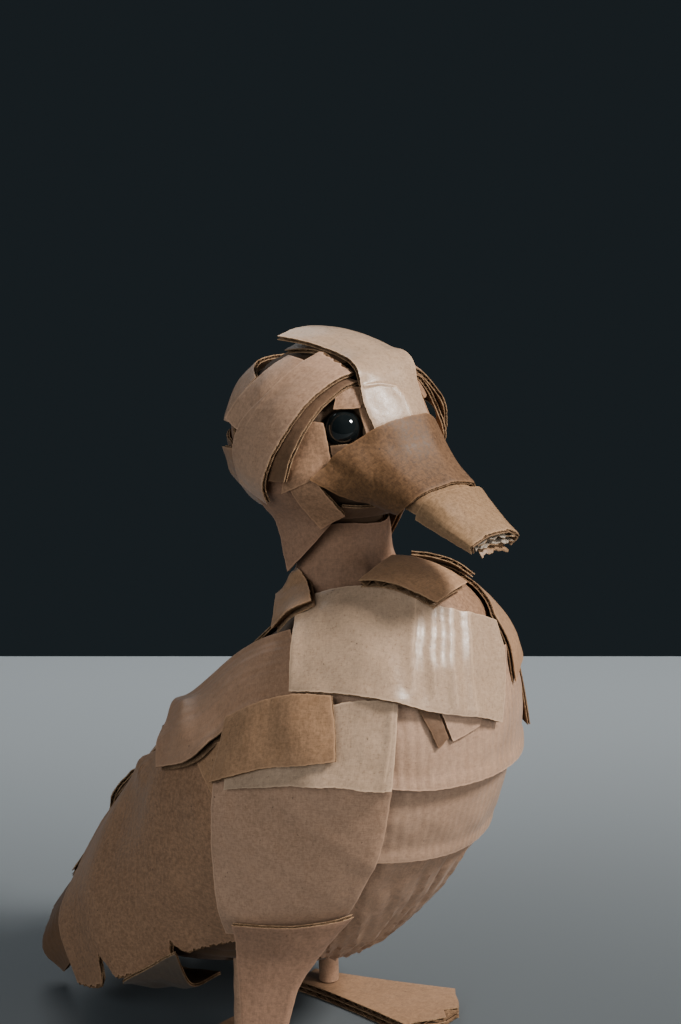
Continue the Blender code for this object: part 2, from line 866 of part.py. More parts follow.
over(
    "saddle", on_face,
    [(0, 0.15), (40, 0.13), (80, 0.06), (101, 0.03)],
    [(0, 0.56), (45, 0.56), (88, 0.53), (132, 0.40)],
    LINER, BROWN, 12, 3,
)
over(
    "bill_tip_wrap", on_bill,
    [(0, 0.60), (50, 0.60), (104, 0.58)],
    [(0, 0.97), (50, 0.97), (104, 0.96)],
    LINER, KRAFT, 12, 1,
)

# The middle of the part's box comes over the origin, with the feet on the floor

corners = [p for obj in parts.objects for p in final_mesh(obj)[0]]
low = Vector([min(p[k] for p in corners) for k in range(3)])
high = Vector([max(p[k] for p in corners) for k in range(3)])
shift = Vector(((low.x + high.x) / 2, (low.y + high.y) / 2, low.z))
for obj in [*parts.objects, *helpers.objects]:
    obj.location -= shift
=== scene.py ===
# Looks of the cardboard duckling: every strip becomes a sheet of corrugated card with
# two liners and a fluted layer between them, laid again on what is under it.
import math
from dataclasses import dataclass, field

import bmesh
import bpy
import numpy as np
from mathutils import Matrix, Vector
from mathutils.bvhtree import BVHTree


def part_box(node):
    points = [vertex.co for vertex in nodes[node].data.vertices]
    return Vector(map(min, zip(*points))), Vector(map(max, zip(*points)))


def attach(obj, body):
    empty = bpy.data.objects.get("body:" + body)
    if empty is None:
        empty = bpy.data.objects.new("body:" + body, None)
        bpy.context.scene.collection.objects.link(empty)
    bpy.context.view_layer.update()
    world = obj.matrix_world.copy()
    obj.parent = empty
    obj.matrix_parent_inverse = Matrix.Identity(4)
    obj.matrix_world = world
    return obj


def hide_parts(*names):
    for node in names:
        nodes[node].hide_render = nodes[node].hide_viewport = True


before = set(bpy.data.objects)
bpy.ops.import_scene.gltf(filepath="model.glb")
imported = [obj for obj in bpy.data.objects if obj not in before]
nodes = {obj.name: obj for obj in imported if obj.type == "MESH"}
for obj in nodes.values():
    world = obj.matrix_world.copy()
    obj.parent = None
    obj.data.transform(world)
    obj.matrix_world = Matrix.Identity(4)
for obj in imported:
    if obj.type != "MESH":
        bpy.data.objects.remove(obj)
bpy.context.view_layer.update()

# Sizes in metres

LINER = 0.0009
CARD = 0.0012
BOARD = 0.0022
THIN = 0.0005
PAPER = 0.00024
WELD = 0.00001
RIM_SLACK = 0.00002
BASE_STEP = 0.0008
LIFT_STEP = 0.0016
FINE_STEP = 0.0011
FLUTE_STEP = 0.0030
BACK_STEP = 0.0025
STEPS_A_FLUTE = 6
SHARP_ANGLE = 48
CLEARANCE = 0.00012
FLUTE_PITCH = {LINER: 0.0021, CARD: 0.0027, BOARD: 0.0042, THIN: 0.0030}
RIB_HEIGHT = {LINER: 0.00003, CARD: 0.00004, BOARD: 0.00006, THIN: 0.0}
RIB_SPACING = 2.7
RIB_TINT = 0.09
WAVE_TURN = 0.314
GRAIN_SHARE = 0.34
CARD_SHINE = 0.42
EYE_SEGMENTS = 64

# The photograph's camera

IMAGE_SIZE = (681, 1024)
CAMERA_AZIMUTH = -55.0
CAMERA_ELEVATION = 12.0
CAMERA_DISTANCE = 0.560
FOCAL_PIXELS = 2275.0
SENSOR = 36.0
LOOK_HEIGHT = 0.137
LEG_SETBACK = 0.017

RIGHT = -1
LEFT = 1


def middle_of(name):
    low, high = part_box(name)
    return (Vector(low) + Vector(high)) / 2


stand = (middle_of("leg_right") + middle_of("leg_left")) / 2
look_at = Vector((stand.x, stand.y - LEG_SETBACK, LOOK_HEIGHT))
azimuth = math.radians(CAMERA_AZIMUTH)
elevation = math.radians(CAMERA_ELEVATION)
to_camera = Vector(
    (
        math.sin(azimuth) * math.cos(elevation),
        -math.cos(azimuth) * math.cos(elevation),
        math.sin(elevation),
    )
)
camera_right = Vector((math.cos(azimuth), math.sin(azimuth), 0))
camera_up = to_camera.cross(camera_right)


def add_camera():
    data = bpy.data.cameras.new("camera")
    data.sensor_fit = "AUTO"
    data.sensor_width = SENSOR
    data.lens = FOCAL_PIXELS / IMAGE_SIZE[1] * SENSOR
    data.clip_start = 0.01
    data.clip_end = 20
    camera = bpy.data.objects.new("camera", data)
    bpy.context.scene.collection.objects.link(camera)
    turn = Matrix((camera_right, camera_up, to_camera)).transposed()
    camera.matrix_world = Matrix.Translation(look_at + to_camera * CAMERA_DISTANCE) @ turn.to_4x4()
    bpy.context.scene.camera = camera


add_camera()

# Materials


class Graph:
    """Short calls to add and join shader nodes."""

    def __init__(self, name):
        self.material = bpy.data.materials.new(name)
        self.material.use_nodes = True
        self.tree = self.material.node_tree
        self.shader = self.tree.nodes["Principled BSDF"]

    def join(self, source, target):
        self.tree.links.new(source, target)

    def feed(self, socket, value):
        if hasattr(value, "is_linked"):
            self.join(value, socket)
        else:
            socket.default_value = value

    def add(self, kind, inputs, **settings):
        """A new node with its settings and with what goes into it."""
        node = self.tree.nodes.new("ShaderNode" + kind)
        for name, value in settings.items():
            setattr(node, name, value)
        for name, value in inputs.items():
            self.feed(node.inputs[name], value)
        return node

    def paint(self, inputs):
        """What goes into the material's own shader."""
        for name, value in inputs.items():
            self.feed(self.shader.inputs[name], value)

    def math(self, operation, a, b):
        return self.add("Math", {0: a, 1: b}, operation=operation).outputs[0]

    def mix(self, share, a, b):
        a, b = (end if hasattr(end, "is_linked") else (*end, 1.0) for end in (a, b))
        return self.add("Mix", {0: share, 6: a, 7: b}, data_type="RGBA").outputs[2]

    def range(self, value, low, high, out_low=0.0, out_high=1.0):
        inputs = {0: value, 1: low, 2: high, 3: out_low, 4: out_high}
        return self.add("MapRange", inputs, interpolation_type="SMOOTHSTEP").outputs[0]

    def place(self, stretch=(1, 1, 1)):
        """Places on the sheet, in millimetres across and along the flutes."""
        where = self.add("UVMap", {}, uv_map="sheet").outputs[0]
        return self.add("Mapping", {"Vector": where, "Scale": stretch}).outputs[0]

    def space(self, scale):
        where = self.add("TexCoord", {}).outputs["Object"]
        return self.add("Mapping", {"Vector": where, "Scale": (scale, scale, scale)}).outputs[0]

    def noise(self, where, scale, detail=4.0, roughness=0.55, distortion=0.0):
        inputs = {"Vector": where, "Scale": scale, "Detail": detail}
        inputs.update({"Roughness": roughness, "Distortion": distortion})
        return self.add("TexNoise", inputs).outputs[0]

    def spots(self, where, scale):
        return self.add("TexVoronoi", {"Vector": where, "Scale": scale}).outputs[0]

    def wave(self, where, scale, distortion):
        inputs = {"Vector": where, "Scale": scale, "Distortion": distortion}
        inputs.update({"Detail": 2.0, "Detail Scale": 0.6})
        return self.add("TexWave", inputs, wave_type="BANDS", bands_direction="X").outputs[1]

    def attribute(self, name):
        return self.add("Attribute", {}, attribute_name=name).outputs["Fac"]

    def bump(self, height, strength, distance, under=None):
        inputs = {"Height": height, "Strength": strength, "Distance": distance}
        if under is not None:
            inputs["Normal"] = under
        return self.add("Bump", inputs).outputs[0]


def scaled(colour, factor):
    return tuple(min(1.0, c * factor) for c in colour)


def card_face(name, light, dark, warm, gloss, ribs, mottling):
    """Kraft paper: fibres, clouds, specks, faint ribs over the flutes, and edges that are lighter from wear
    at the cuts and from a painted highlight along the creases.
    """
    g = Graph(name)
    room = g.space(1000.0)
    clouds = g.noise(room, 0.045, 3.0, 0.55, 0.6)
    blotches = g.noise(room, 0.28, 5.0, 0.65)
    mottle = g.noise(room, 1.15, 4.0, 0.7)
    fibres = g.noise(g.place((2.4, 0.5, 1.0)), 1.5, 6.0, 0.72, 0.8)
    crossed = g.noise(g.place((0.5, 2.6, 1.0)), 1.3, 6.0, 0.7, 0.6)
    grain = g.math("MULTIPLY", g.math("ADD", fibres, crossed), 0.5)
    colour = g.mix(g.range(clouds, 0.32, 0.68), dark, light)
    colour = g.mix(g.range(blotches, 0.45, 0.75, 0.0, 0.38), colour, warm)
    tone = g.range(mottle, 0.34, 0.66)
    colour = g.mix(mottling, colour, g.mix(tone, scaled(dark, 0.55), scaled(light, 1.22)))
    tone = g.range(grain, 0.34, 0.66)
    colour = g.mix(GRAIN_SHARE, colour, g.mix(tone, scaled(dark, 0.45), scaled(light, 1.25)))
    speck = g.spots(room, 0.42)
    rare = g.math("GREATER_THAN", g.noise(room, 0.7, 2.0), 0.62)
    speck = g.math("MULTIPLY", g.range(speck, 0.05, 0.15, 1.0, 0.0), rare)
    colour = g.mix(g.math("MULTIPLY", speck, 0.7), colour, (0.03, 0.02, 0.016))
    rib = g.wave(g.place(), 1 / RIB_SPACING * WAVE_TURN, 1.2)
    shade = g.math("MULTIPLY", g.range(rib, 0.2, 0.8), RIB_TINT * ribs)
    colour = g.mix(shade, colour, scaled(dark, 0.5))
    # Lighter close to an edge or a crease: wear at the cut edges, and a painted highlight along the
    # creases, which count as edges here
    edge = g.attribute("edge")
    ragged = g.math("ADD", edge, g.math("MULTIPLY", g.math("SUBTRACT", grain, 0.5), 1.2))
    wear_and_crease_highlight = g.range(ragged, 0.02, 0.5, 0.5, 0.0)
    colour = g.mix(wear_and_crease_highlight, colour, scaled(light, 1.45))
    rough = g.range(mottle, 0.3, 0.7, gloss - 0.06, gloss + 0.10)
    low = g.bump(g.noise(room, 0.2, 2.0, 0.5), 0.45, 0.0005)
    ribbed = g.bump(rib, 0.5 * ribs, 0.00012, low)
    fine = g.bump(grain, 0.6, 0.00007, ribbed)
    g.paint({"Base Color": colour, "Roughness": rough, "Normal": fine})
    g.paint({"Specular IOR Level": CARD_SHINE, "Sheen Weight": 0.05, "Sheen Roughness": 0.5})
    return g.material


def card_edge(name, light, dark):
    """The cut edge of paper and flutes: ragged, with dark hollows and pale fibres."""
    g = Graph(name)
    room = g.space(1000.0)
    fuzz = g.noise(room, 1.6, 6.0, 0.75, 1.0)
    slow = g.noise(room, 0.25, 2.0)
    colour = g.mix(g.range(fuzz, 0.35, 0.65), dark, light)
    colour = g.mix(g.range(slow, 0.4, 0.7, 0.0, 0.5), colour, scaled(dark, 0.6))
    g.paint({"Base Color": colour, "Roughness": 0.95, "Specular IOR Level": 0.2})
    g.paint({"Normal": g.bump(fuzz, 0.9, 0.00015)})
    return g.material


# Each card face: its light, dark and warm colours, its roughness, how strong its ribs are
# and how mottled it is
FACES = {
    "pale": ((0.42, 0.285, 0.19), (0.32, 0.215, 0.142), (0.36, 0.22, 0.125), 0.32, 0.1, 0.3),
    "ribbed": ((0.42, 0.265, 0.178), (0.32, 0.196, 0.125), (0.38, 0.205, 0.115), 0.42, 1.0, 0.3),
    "kraft": ((0.42, 0.255, 0.165), (0.31, 0.185, 0.115), (0.35, 0.175, 0.09), 0.46, 0.15, 0.4),
    "scapular": ((0.4, 0.23, 0.14), (0.305, 0.17, 0.1), (0.35, 0.175, 0.09), 0.46, 0.7, 0.3),
    # The kraft card darkened as painted shade, for the parts that lie in shade
    "shaded_kraft": ((0.29, 0.165, 0.105), (0.21, 0.118, 0.072), (0.25, 0.125, 0.065), 0.48, 0.15, 0.4),
    "sand": ((0.29, 0.17, 0.088), (0.2, 0.115, 0.058), (0.28, 0.145, 0.065), 0.52, 0.1, 0.45),
    "tawny": ((0.31, 0.175, 0.1), (0.21, 0.115, 0.065), (0.3, 0.145, 0.066), 0.5, 0.1, 0.6),
    "mottled": ((0.155, 0.078, 0.034), (0.07, 0.034, 0.015), (0.18, 0.082, 0.032), 0.6, 0.1, 0.6),
    "ochre": ((0.35, 0.2, 0.11), (0.265, 0.147, 0.076), (0.36, 0.175, 0.07), 0.55, 0.1, 0.45),
    "brown": ((0.15, 0.083, 0.046), (0.1, 0.054, 0.029), (0.145, 0.068, 0.029), 0.58, 0.3, 0.3),
    "grey": ((0.13, 0.095, 0.068), (0.085, 0.06, 0.042), (0.11, 0.07, 0.042), 0.62, 0.6, 0.3),
    # The form's card, painted nearly black as painted shade in the gaps between the strips, the nape's hole
    # and round the eyes
    "core": ((0.08, 0.048, 0.029), (0.04, 0.024, 0.014), (0.06, 0.033, 0.017), 0.9, 0.2, 0.3),
}
faces = {name: card_face(name + "_card_face", *values) for name, values in FACES.items()}
(
    PALE, RIBBED, KRAFT, SCAPULAR, SHADED_KRAFT, SAND,
    TAWNY, MOTTLED, OCHRE, BROWN, GREY, CORE_PAINTED_SHADE,
) = faces.values()
EDGE = card_edge("cut_edge", (0.42, 0.27, 0.155), (0.15, 0.085, 0.045))
FLUTE = card_edge("flute_paper", (0.24, 0.14, 0.075), (0.07, 0.04, 0.022))
INSIDE = card_edge("inner_liner", (0.30, 0.19, 0.11), (0.15, 0.085, 0.048))
FILLING = card_edge("torn_white_paper", (0.36, 0.31, 0.25), (0.13, 0.10, 0.075))


def bead_glass():
    g = Graph("bead_glass")
    film = g.noise(g.space(1000.0), 0.5, 3.0)
    g.paint({"Base Color": g.mix(film, (0.003, 0.005, 0.006), (0.009, 0.011, 0.011))})
    g.paint({"Roughness": g.range(film, 0.3, 0.7, 0.03, 0.07)})
    g.paint({"IOR": 1.52, "Specular IOR Level": 0.6, "Coat Weight": 0.6, "Coat Roughness": 0.02})
    return g.material


BEAD = bead_glass()

# Reading a strip's own grid from its solid


def corners_of(mesh):
    spots = np.empty(len(mesh.vertices) * 3)
    mesh.vertices.foreach_get("co", spots)
    return spots.reshape(-1, 3)


def welded(name):
    """Corners and triangles of a node, with doubled corners joined."""
    mesh = nodes[name].data
    spots = corners_of(mesh)
    mesh.calc_loop_triangles()
    tris = np.empty(len(mesh.loop_triangles) * 3, dtype=np.int64)
    mesh.loop_triangles.foreach_get("vertices", tris)
    places = np.round(spots / WELD).astype(np.int64)
    _, first, back = np.unique(places, axis=0, return_index=True, return_inverse=True)
    back = back.reshape(-1)
    tris = back[tris.reshape(-1, 3)]
    whole = (tris[:, 0] != tris[:, 1]) & (tris[:, 1] != tris[:, 2]) & (tris[:, 0] != tris[:, 2])
    return spots[first], tris[whole]


def skin_of(names):
    """One skin of several nodes, to be asked how near it is."""
    spots = []
    tris = []
    for name in names:
        own, own_tris = welded(name)
        tris.extend(tuple(int(len(spots) + k) for k in t) for t in own_tris)
        spots.extend(map(tuple, own))
    return BVHTree.FromPolygons(spots, tris)


form_skin = skin_of(["card_form", "bill_core"])


def side_lengths(spots, tris):
    corners = spots[tris]
    return np.linalg.norm(corners - np.roll(corners, -1, 1), axis=2)


def card_of(spots, tris):
    """Which of the three cards the strip is cut from: the one its rim is as thick as."""
    lengths = side_lengths(spots, tris)
    return max((LINER, CARD, BOARD), key=lambda card: np.sum(abs(lengths - card) < RIM_SLACK))


def apart(tris):
    """The sheets' triangles, sorted into those that hang together."""
    owner = {}
    groups = []
    for k, tri in enumerate(tris):
        touching = {id(owner[v]): owner[v] for v in tri if v in owner}
        merged = [k]
        for group in touching.values():
            merged = group + merged
            groups.remove(group)
        groups.append(merged)
        for index in merged:
            for v in tris[index]:
                owner[v] = merged
    return [tris[g] for g in groups]


def border(tris):
    """The loop of corners round a sheet, in order."""
    following = {}
    sides = {(a, b) for t in tris for a, b in ((t[0], t[1]), (t[1], t[2]), (t[2], t[0]))}
    for a, b in sides:
        if (b, a) not in sides:
            following[a] = b
    loop = [next(iter(following))]
    while following[loop[-1]] != loop[0]:
        loop.append(following[loop[-1]])
    return loop


def first_corner(ring, along, half):
    """Where on its border a sheet's first corner lies: where its four corners turn the most."""
    ahead = np.roll(ring, -1, 0) - ring
    behind = ring - np.roll(ring, 1, 0)
    cosine = (ahead * behind).sum(1) / np.linalg.norm(ahead, axis=1) / np.linalg.norm(behind, axis=1)
    turning = np.arccos(np.clip(cosine, -1, 1))
    corners = (0, along, half, half + along)
    return max(range(half), key=lambda start: sum(turning[(start + c) % len(ring)] for c in corners))


def grid_places(tris, fixed):
    """Each corner's row and column in a sheet: the border's are given, and every other
    corner's are the middle of those beside it."""
    used = list(np.unique(tris))
    index = {v: k for k, v in enumerate(used)}
    beside = {v: set() for v in used}
    for t in tris:
        for v in t:
            beside[v].update(t)
    matrix = np.eye(len(used))
    wanted = np.zeros((len(used), 2))
    for v in used:
        if v in fixed:
            wanted[index[v]] = fixed[v]
            continue
        around = beside[v] - {v}
        for n in around:
            matrix[index[v], index[n]] -= 1 / len(around)
    return zip(used, np.round(np.linalg.solve(matrix, wanted)).astype(int))


def strip_grid(name):
    """The outer face of a strip as rows of points, and the card it is cut from. The first
    way runs along the strip and the second across it."""
    spots, tris = welded(name)
    card = card_of(spots, tris)
    on_rim = (abs(side_lengths(spots, tris) - card) < RIM_SLACK).any(axis=1)

    def height(sheet):
        return np.mean([form_skin.find_nearest(Vector(spots[v]))[3] for v in np.unique(sheet)])

    inner, outer = sorted(sorted(apart(tris[~on_rim]), key=len)[-2:], key=height)
    loop = border(outer)
    half = len(loop) // 2
    root = math.sqrt(max(0.0, half * half / 4 - len(outer) / 2))
    along = round(half / 2 + root)
    across = half - along
    start = first_corner(spots[loop], along, half)
    loop = loop[start:] + loop[:start]
    ways = [(i, 0) for i in range(along)] + [(along, j) for j in range(across)]
    ways += [(along - i, across) for i in range(along)] + [(0, across - j) for j in range(across)]
    grid = np.full((along + 1, across + 1, 3), np.nan)
    for v, (i, j) in grid_places(outer, dict(zip(loop, ways))):
        grid[i, j] = spots[v]
    if np.isnan(grid).any():
        raise ValueError("the grid of " + name + " isn't whole")
    below = spots[np.unique(inner)]
    corner = grid[0, 0]
    partner = below[np.argmin(abs(np.linalg.norm(below - corner, axis=1) - card))]
    if np.dot(np.cross(grid[1, 0] - corner, grid[0, 1] - corner), corner - partner) < 0:
        grid = grid[:, ::-1]
    return grid, card


# Smooth sheets


def smooth_weights(count, places):
    """Weights that read a smooth line through evenly spaced points, at shares of its length."""
    spans = count - 1
    weights = np.zeros((len(places), count))
    for row, place in enumerate(places):
        at = place * spans
        i = min(max(int(at), 0), spans - 1)
        t = at - i
        pulls = (
            0.5 * (-t + 2 * t * t - t**3),
            0.5 * (2 - 5 * t * t + 3 * t**3),
            0.5 * (t + 4 * t * t - 3 * t**3),
            0.5 * (-t * t + t**3),
        )
        for k, pull in zip(range(i - 1, i + 3), pulls):
            if k < 0:
                weights[row, 0] += 2 * pull
                weights[row, 1] -= pull
            elif k > spans:
                weights[row, spans] += 2 * pull
                weights[row, spans - 1] -= pull
            else:
                weights[row, k] += pull
    return weights


def surface(grid, us, vs):
    a = smooth_weights(grid.shape[0], us)
    b = smooth_weights(grid.shape[1], vs)
    return np.einsum("ai,ijk,bj->abk", a, grid, b)


def outward(points):
    """Unit normals of a grid of points."""
    du = np.gradient(points, axis=0)
    dv = np.gradient(points, axis=1)
    normal = np.cross(du, dv)
    return normal / np.maximum(np.linalg.norm(normal, axis=2, keepdims=True), 1e-12)


def facing(grid, way):
    """The grid, turned over where its outer side doesn't face a way."""
    middle = (grid.shape[0] // 2, grid.shape[1] // 2)
    return grid[:, ::-1] if outward(grid)[middle] @ np.array(way) < 0 else grid


def spread(values):
    """Each value evened out with the four beside it."""
    padded = np.pad(values, 1, mode="edge")
    beside = padded[:-2, 1:-1] + padded[2:, 1:-1] + padded[1:-1, :-2] + padded[1:-1, 2:]
    return (beside + values * 2) / 6


pile = []


def grid_faces(index):
    """The four-cornered faces of a grid of corner numbers."""
    corners = (index[:-1, :-1], index[1:, :-1], index[1:, 1:], index[:-1, 1:])
    return np.stack(corners, -1).reshape(-1, 4)


def add_to_pile(points, faces=None):
    """What the sheets laid later have to lie on: a grid of points, or points with their faces."""
    flat = points.reshape(-1, 3)
    if faces is None:
        faces = grid_faces(np.arange(len(flat)).reshape(points.shape[:2]))
    faces = [tuple(int(k) for k in face) for face in faces]
    pile.append((flat.min(0), flat.max(0), BVHTree.FromPolygons([tuple(p) for p in flat], faces)))


LOOK_OUT = 0.0030
LOOK_IN = 0.0050
MOST_LIFT = 0.0030
LIFT_PASSES = 14


def clear_lift(points, normals, card):
    """How far each place of a sheet has to rise to lie on what is under it."""
    lift = np.zeros(points.shape[:2])
    low = points.reshape(-1, 3).min(0) - LOOK_IN
    high = points.reshape(-1, 3).max(0) + LOOK_IN
    near = [tree for a, b, tree in pile if (a < high).all() and (b > low).all()]
    for i in range(points.shape[0]):
        for j in range(points.shape[1]):
            normal = Vector(normals[i, j])
            start = Vector(points[i, j]) + normal * LOOK_OUT
            top = None
            for tree in near:
                hit = tree.ray_cast(start, -normal, LOOK_OUT + LOOK_IN)
                if hit[0] is not None and (top is None or hit[3] < top):
                    top = hit[3]
            if top is not None:
                lift[i, j] = min(max(0.0, LOOK_OUT - top + CLEARANCE + card), MOST_LIFT)
    smooth = lift
    for _ in range(LIFT_PASSES):
        smooth = np.maximum(lift, spread(smooth))
    return spread(smooth)


def shares(rows, columns):
    """Shares of a sheet's two ways, for each place of a grid."""
    return np.meshgrid(np.linspace(0, 1, rows), np.linspace(0, 1, columns), indexing="ij")


def ramp(values, low, high):
    t = np.clip((values - low) / (high - low), 0, 1)
    return t * t * (3 - 2 * t)


def read(values, s, t):
    """Values of a regular grid at shares of its two ways."""
    a = np.clip(s, 0, 1) * (values.shape[0] - 1)
    b = np.clip(t, 0, 1) * (values.shape[1] - 1)
    i = np.minimum(a.astype(int), values.shape[0] - 2)
    j = np.minimum(b.astype(int), values.shape[1] - 2)
    a = a - i
    b = b - j
    if values.ndim == 3:
        a = a[..., None]
        b = b[..., None]
    low = values[i, j] * (1 - b) + values[i, j + 1] * b
    high = values[i + 1, j] * (1 - b) + values[i + 1, j + 1] * b
    return low * (1 - a) + high * a


class Piece:
    """Grids of points gathered into one mesh with several materials."""

    def __init__(self, name):
        self.name = name
        self.spots = []
        self.faces = []
        self.looks = []
        self.sheet = []
        self.edge = []
        self.count = 0

    def slab(self, top, bottom, uv, edge, face, rim, back):
        """A thin closed sheet between two grids of points."""
        rows, columns = top.shape[:2]
        size = rows * columns
        index = np.arange(size).reshape(rows, columns) + self.count
        upper = grid_faces(index)
        under = upper[:, ::-1] + size
        ring = np.concatenate([index[0, :-1], index[:-1, -1], index[-1, :0:-1], index[:0:-1, 0]])
        following = np.roll(ring, -1)
        sides = np.stack([ring, following, following + size, ring + size], -1)
        self.spots += [top.reshape(-1, 3), bottom.reshape(-1, 3)]
        self.sheet += [uv.reshape(-1, 2)] * 2
        self.edge += [edge.reshape(-1)] * 2
        self.faces += [upper, under, sides]
        self.looks += [(face, len(upper)), (back, len(under)), (rim, len(sides))]
        self.count += size * 2

    def finish(self, materials, node_names):
        spots = np.concatenate(self.spots)
        faces = np.concatenate(self.faces)
        looks = np.repeat([k for k, _ in self.looks], [n for _, n in self.looks])
        mesh = bpy.data.meshes.new(self.name)
        mesh.vertices.add(len(spots))
        mesh.vertices.foreach_set("co", spots.ravel())
        mesh.loops.add(faces.size)
        mesh.loops.foreach_set("vertex_index", faces.ravel())
        mesh.polygons.add(len(faces))
        mesh.polygons.foreach_set("loop_start", np.arange(0, faces.size, 4))
        mesh.polygons.foreach_set("material_index", looks)
        mesh.polygons.foreach_set("use_smooth", np.ones(len(faces), dtype=bool))
        mesh.update(calc_edges=True)
        layer = mesh.uv_layers.new(name="sheet")
        layer.data.foreach_set("uv", np.concatenate(self.sheet)[faces.ravel()].ravel())
        edge = mesh.attributes.new("edge", "FLOAT", "POINT")
        edge.data.foreach_set("value", np.concatenate(self.edge))
        mesh.set_sharp_from_angle(angle=math.radians(SHARP_ANGLE))
        for material in materials:
            mesh.materials.append(material)
        add_object(self.name, mesh, node_names)


def mesh_from(bm, name):
    mesh = bpy.data.meshes.new(name)
    bm.to_mesh(mesh)
    bm.free()
    return mesh


def add_object(name, mesh, node_names):
    obj = bpy.data.objects.new(name, mesh)
    bpy.context.scene.collection.objects.link(obj)
    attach(obj, "root")
    if node_names:
        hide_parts(*node_names)


def wander(points, size, seed):
    """Slow unevenness at each place, between -1 and 1."""
    total = np.zeros(points.shape[:-1])
    for k in range(5):
        turns = (math.sin(seed * 2.4 + k * 1.9), math.cos(seed * 1.3 + k * 2.7), math.sin(seed + k * 4.1))
        along = points @ np.array(turns) * (math.tau * (0.5 + 0.23 * k) / size)
        total += np.sin(along + seed * 1.7 + k * 2.3) / (1 + 0.4 * k)
    return total / 2.2


def tremble(places, seed, amount):
    """A cut or torn edge's waver along its length, from 0 inwards."""
    total = 0.6 * np.sin(places / 0.0047 * math.tau + seed * 2.1)
    total += 0.5 * np.sin(places / 0.0021 * math.tau + seed * 5.3)
    total += 0.4 * np.sin(places / 0.0011 * math.tau + seed * 1.3)
    return amount * (1.0 + total / 1.5) / 2


def line_distance(spots, line):
    """How far each place on the sheet is from a line of places."""
    best = np.full(spots.shape[:-1], 1.0)
    for a, b in zip(line[:-1], line[1:]):
        along = b - a
        share = np.clip(((spots - a) @ along) / (along @ along), 0, 1)
        best = np.minimum(best, np.linalg.norm(spots - a - share[..., None] * along, axis=-1))
    return best


@dataclass
class Look:
    """How a sheet is cut and worn. Edges are named start and end (along) and near and far
    (across); torn holds how far the outer liner is torn back at an edge. A crease is a line
    of shares of the sheet, its height and how wide it runs out. Rolled holds how far the
    sheet stands up inside an edge and how wide the turn is. A notch is an edge, a share of
    its length, half its width and its depth."""

    flutes: str = "across"
    curl: float = 0.0
    waves: float = 0.00022
    wave_size: float = 0.011
    seed: int = 1
    torn: dict = field(default_factory=dict)
    creases: tuple = ()
    relief: object = None
    fine: float = 1.0
    ribs: float = 0.35
    rolled: dict = field(default_factory=dict)
    notches: tuple = ()


# A cut edge's waver, how far the flutes lie inside it, and how the liner is pressed down there
CUT_WAVER = 0.00022
FLUTE_INSET = 0.00018
PRESSED = 0.00012
PRESSED_REACH = 0.0007
RIB_REACH = 0.0010
CURL_REACH = 0.0040
FLUTE_PLY = PAPER * 0.6

# A sheet's materials, in the order of its mesh
FACE, CUT, WAVE, BACK = range(4)


class Sheet:
    """A strip's surface, settled on what is under it, from which its layers are made."""

    def __init__(self, grid, card, look):
        self.look = look
        self.length = np.linalg.norm(np.diff(grid, axis=0), axis=2).sum(0).mean()
        self.width = np.linalg.norm(np.diff(grid, axis=1), axis=2).sum(1).mean()
        self.across = look.flutes == "across"
        rows, columns = self.counts(BASE_STEP, BASE_STEP)
        self.base = surface(grid, np.linspace(0, 1, rows), np.linspace(0, 1, columns))
        self.normals = outward(self.base)
        s, t = shares(*(max(6, math.ceil(size / LIFT_STEP)) + 1 for size in (self.length, self.width)))
        self.lift = clear_lift(read(self.base, s, t), read(self.normals, s, t), card)

    def counts(self, fine, coarse):
        """Rows and columns for one step across the flutes and one along them."""
        steps = (fine, coarse) if self.across else (coarse, fine)
        return [max(5, math.ceil(size / step)) + 1 for size, step in zip((self.length, self.width), steps)]

    def cut(self, s, t, inset, torn):
        """Shares of the whole sheet, once its edges waver and are notched and torn."""
        ends = []
        for k, edge in enumerate(("start", "end", "near", "far")):
            run, reach = (self.width, self.length) if k < 2 else (self.length, self.width)
            places = (t if k < 2 else s) * run
            amount = tremble(places, self.look.seed * 3.1 + k * 1.7 + inset * 9000, CUT_WAVER) + inset
            for _, share, half, deep in [n for n in self.look.notches if n[0] == edge]:
                amount = amount + deep * np.clip(1 - np.abs(places - share * run) / half, 0, 1)
            if edge in torn:
                amount = amount + tremble(places * 1.3, self.look.seed + k, torn[edge]) + torn[edge] * 0.25
            ends.append(amount / reach)
        return ends[0] + (1 - ends[0] - ends[1]) * s, ends[2] + (1 - ends[2] - ends[3]) * t

    def settled(self, counts, inset=0.0, torn=None):
        """Points and normals of a layer, its places on the sheet and how near an edge or
        a crease is."""
        look = self.look
        length, width = self.length, self.width
        s, t = shares(*counts)
        s_in, t_in = self.cut(s, t, inset, torn or {})
        points = read(self.base, s_in, t_in)
        normals = read(self.normals, s_in, t_in)
        normals /= np.linalg.norm(normals, axis=2, keepdims=True)
        u = s_in * length
        v = t_in * width
        gap = np.minimum(np.minimum(s * length, (1 - s) * length), np.minimum(t * width, (1 - t) * width))
        rim = np.minimum(np.minimum(u, length - u), np.minimum(v, width - v))
        uneven = wander(points, look.wave_size, look.seed) * look.waves * ramp(rim, -0.002, 0.004)
        total = read(self.lift, s_in, t_in) + uneven + look.curl * (1 - ramp(rim, 0.0, CURL_REACH))
        if look.relief is not None:
            total = total + look.relief(u, v)
        for edge, (rise, reach) in look.rolled.items():
            inward = {"start": u, "end": length - u, "near": v, "far": width - v}[edge]
            total = total + rise * (1 - np.clip(1 - inward / reach, 0, 1) ** 2)
        spots = np.stack([u, v], -1)
        for line, depth, reach in look.creases:
            away = line_distance(spots, np.array(line) * (length, width))
            total = total + depth * np.exp(-((away / reach) ** 2))
            # Creases count as edges, so the face is painted lighter along them: a painted highlight
            gap = np.minimum(gap, away + 0.0001)
        moved = points + normals * total[..., None]
        over, along = (u, v) if self.across else (v, u)
        uv = np.stack([over + look.seed * 0.037, along + look.seed * 0.053], -1) * 1000
        return moved, outward(moved), over, uv, gap


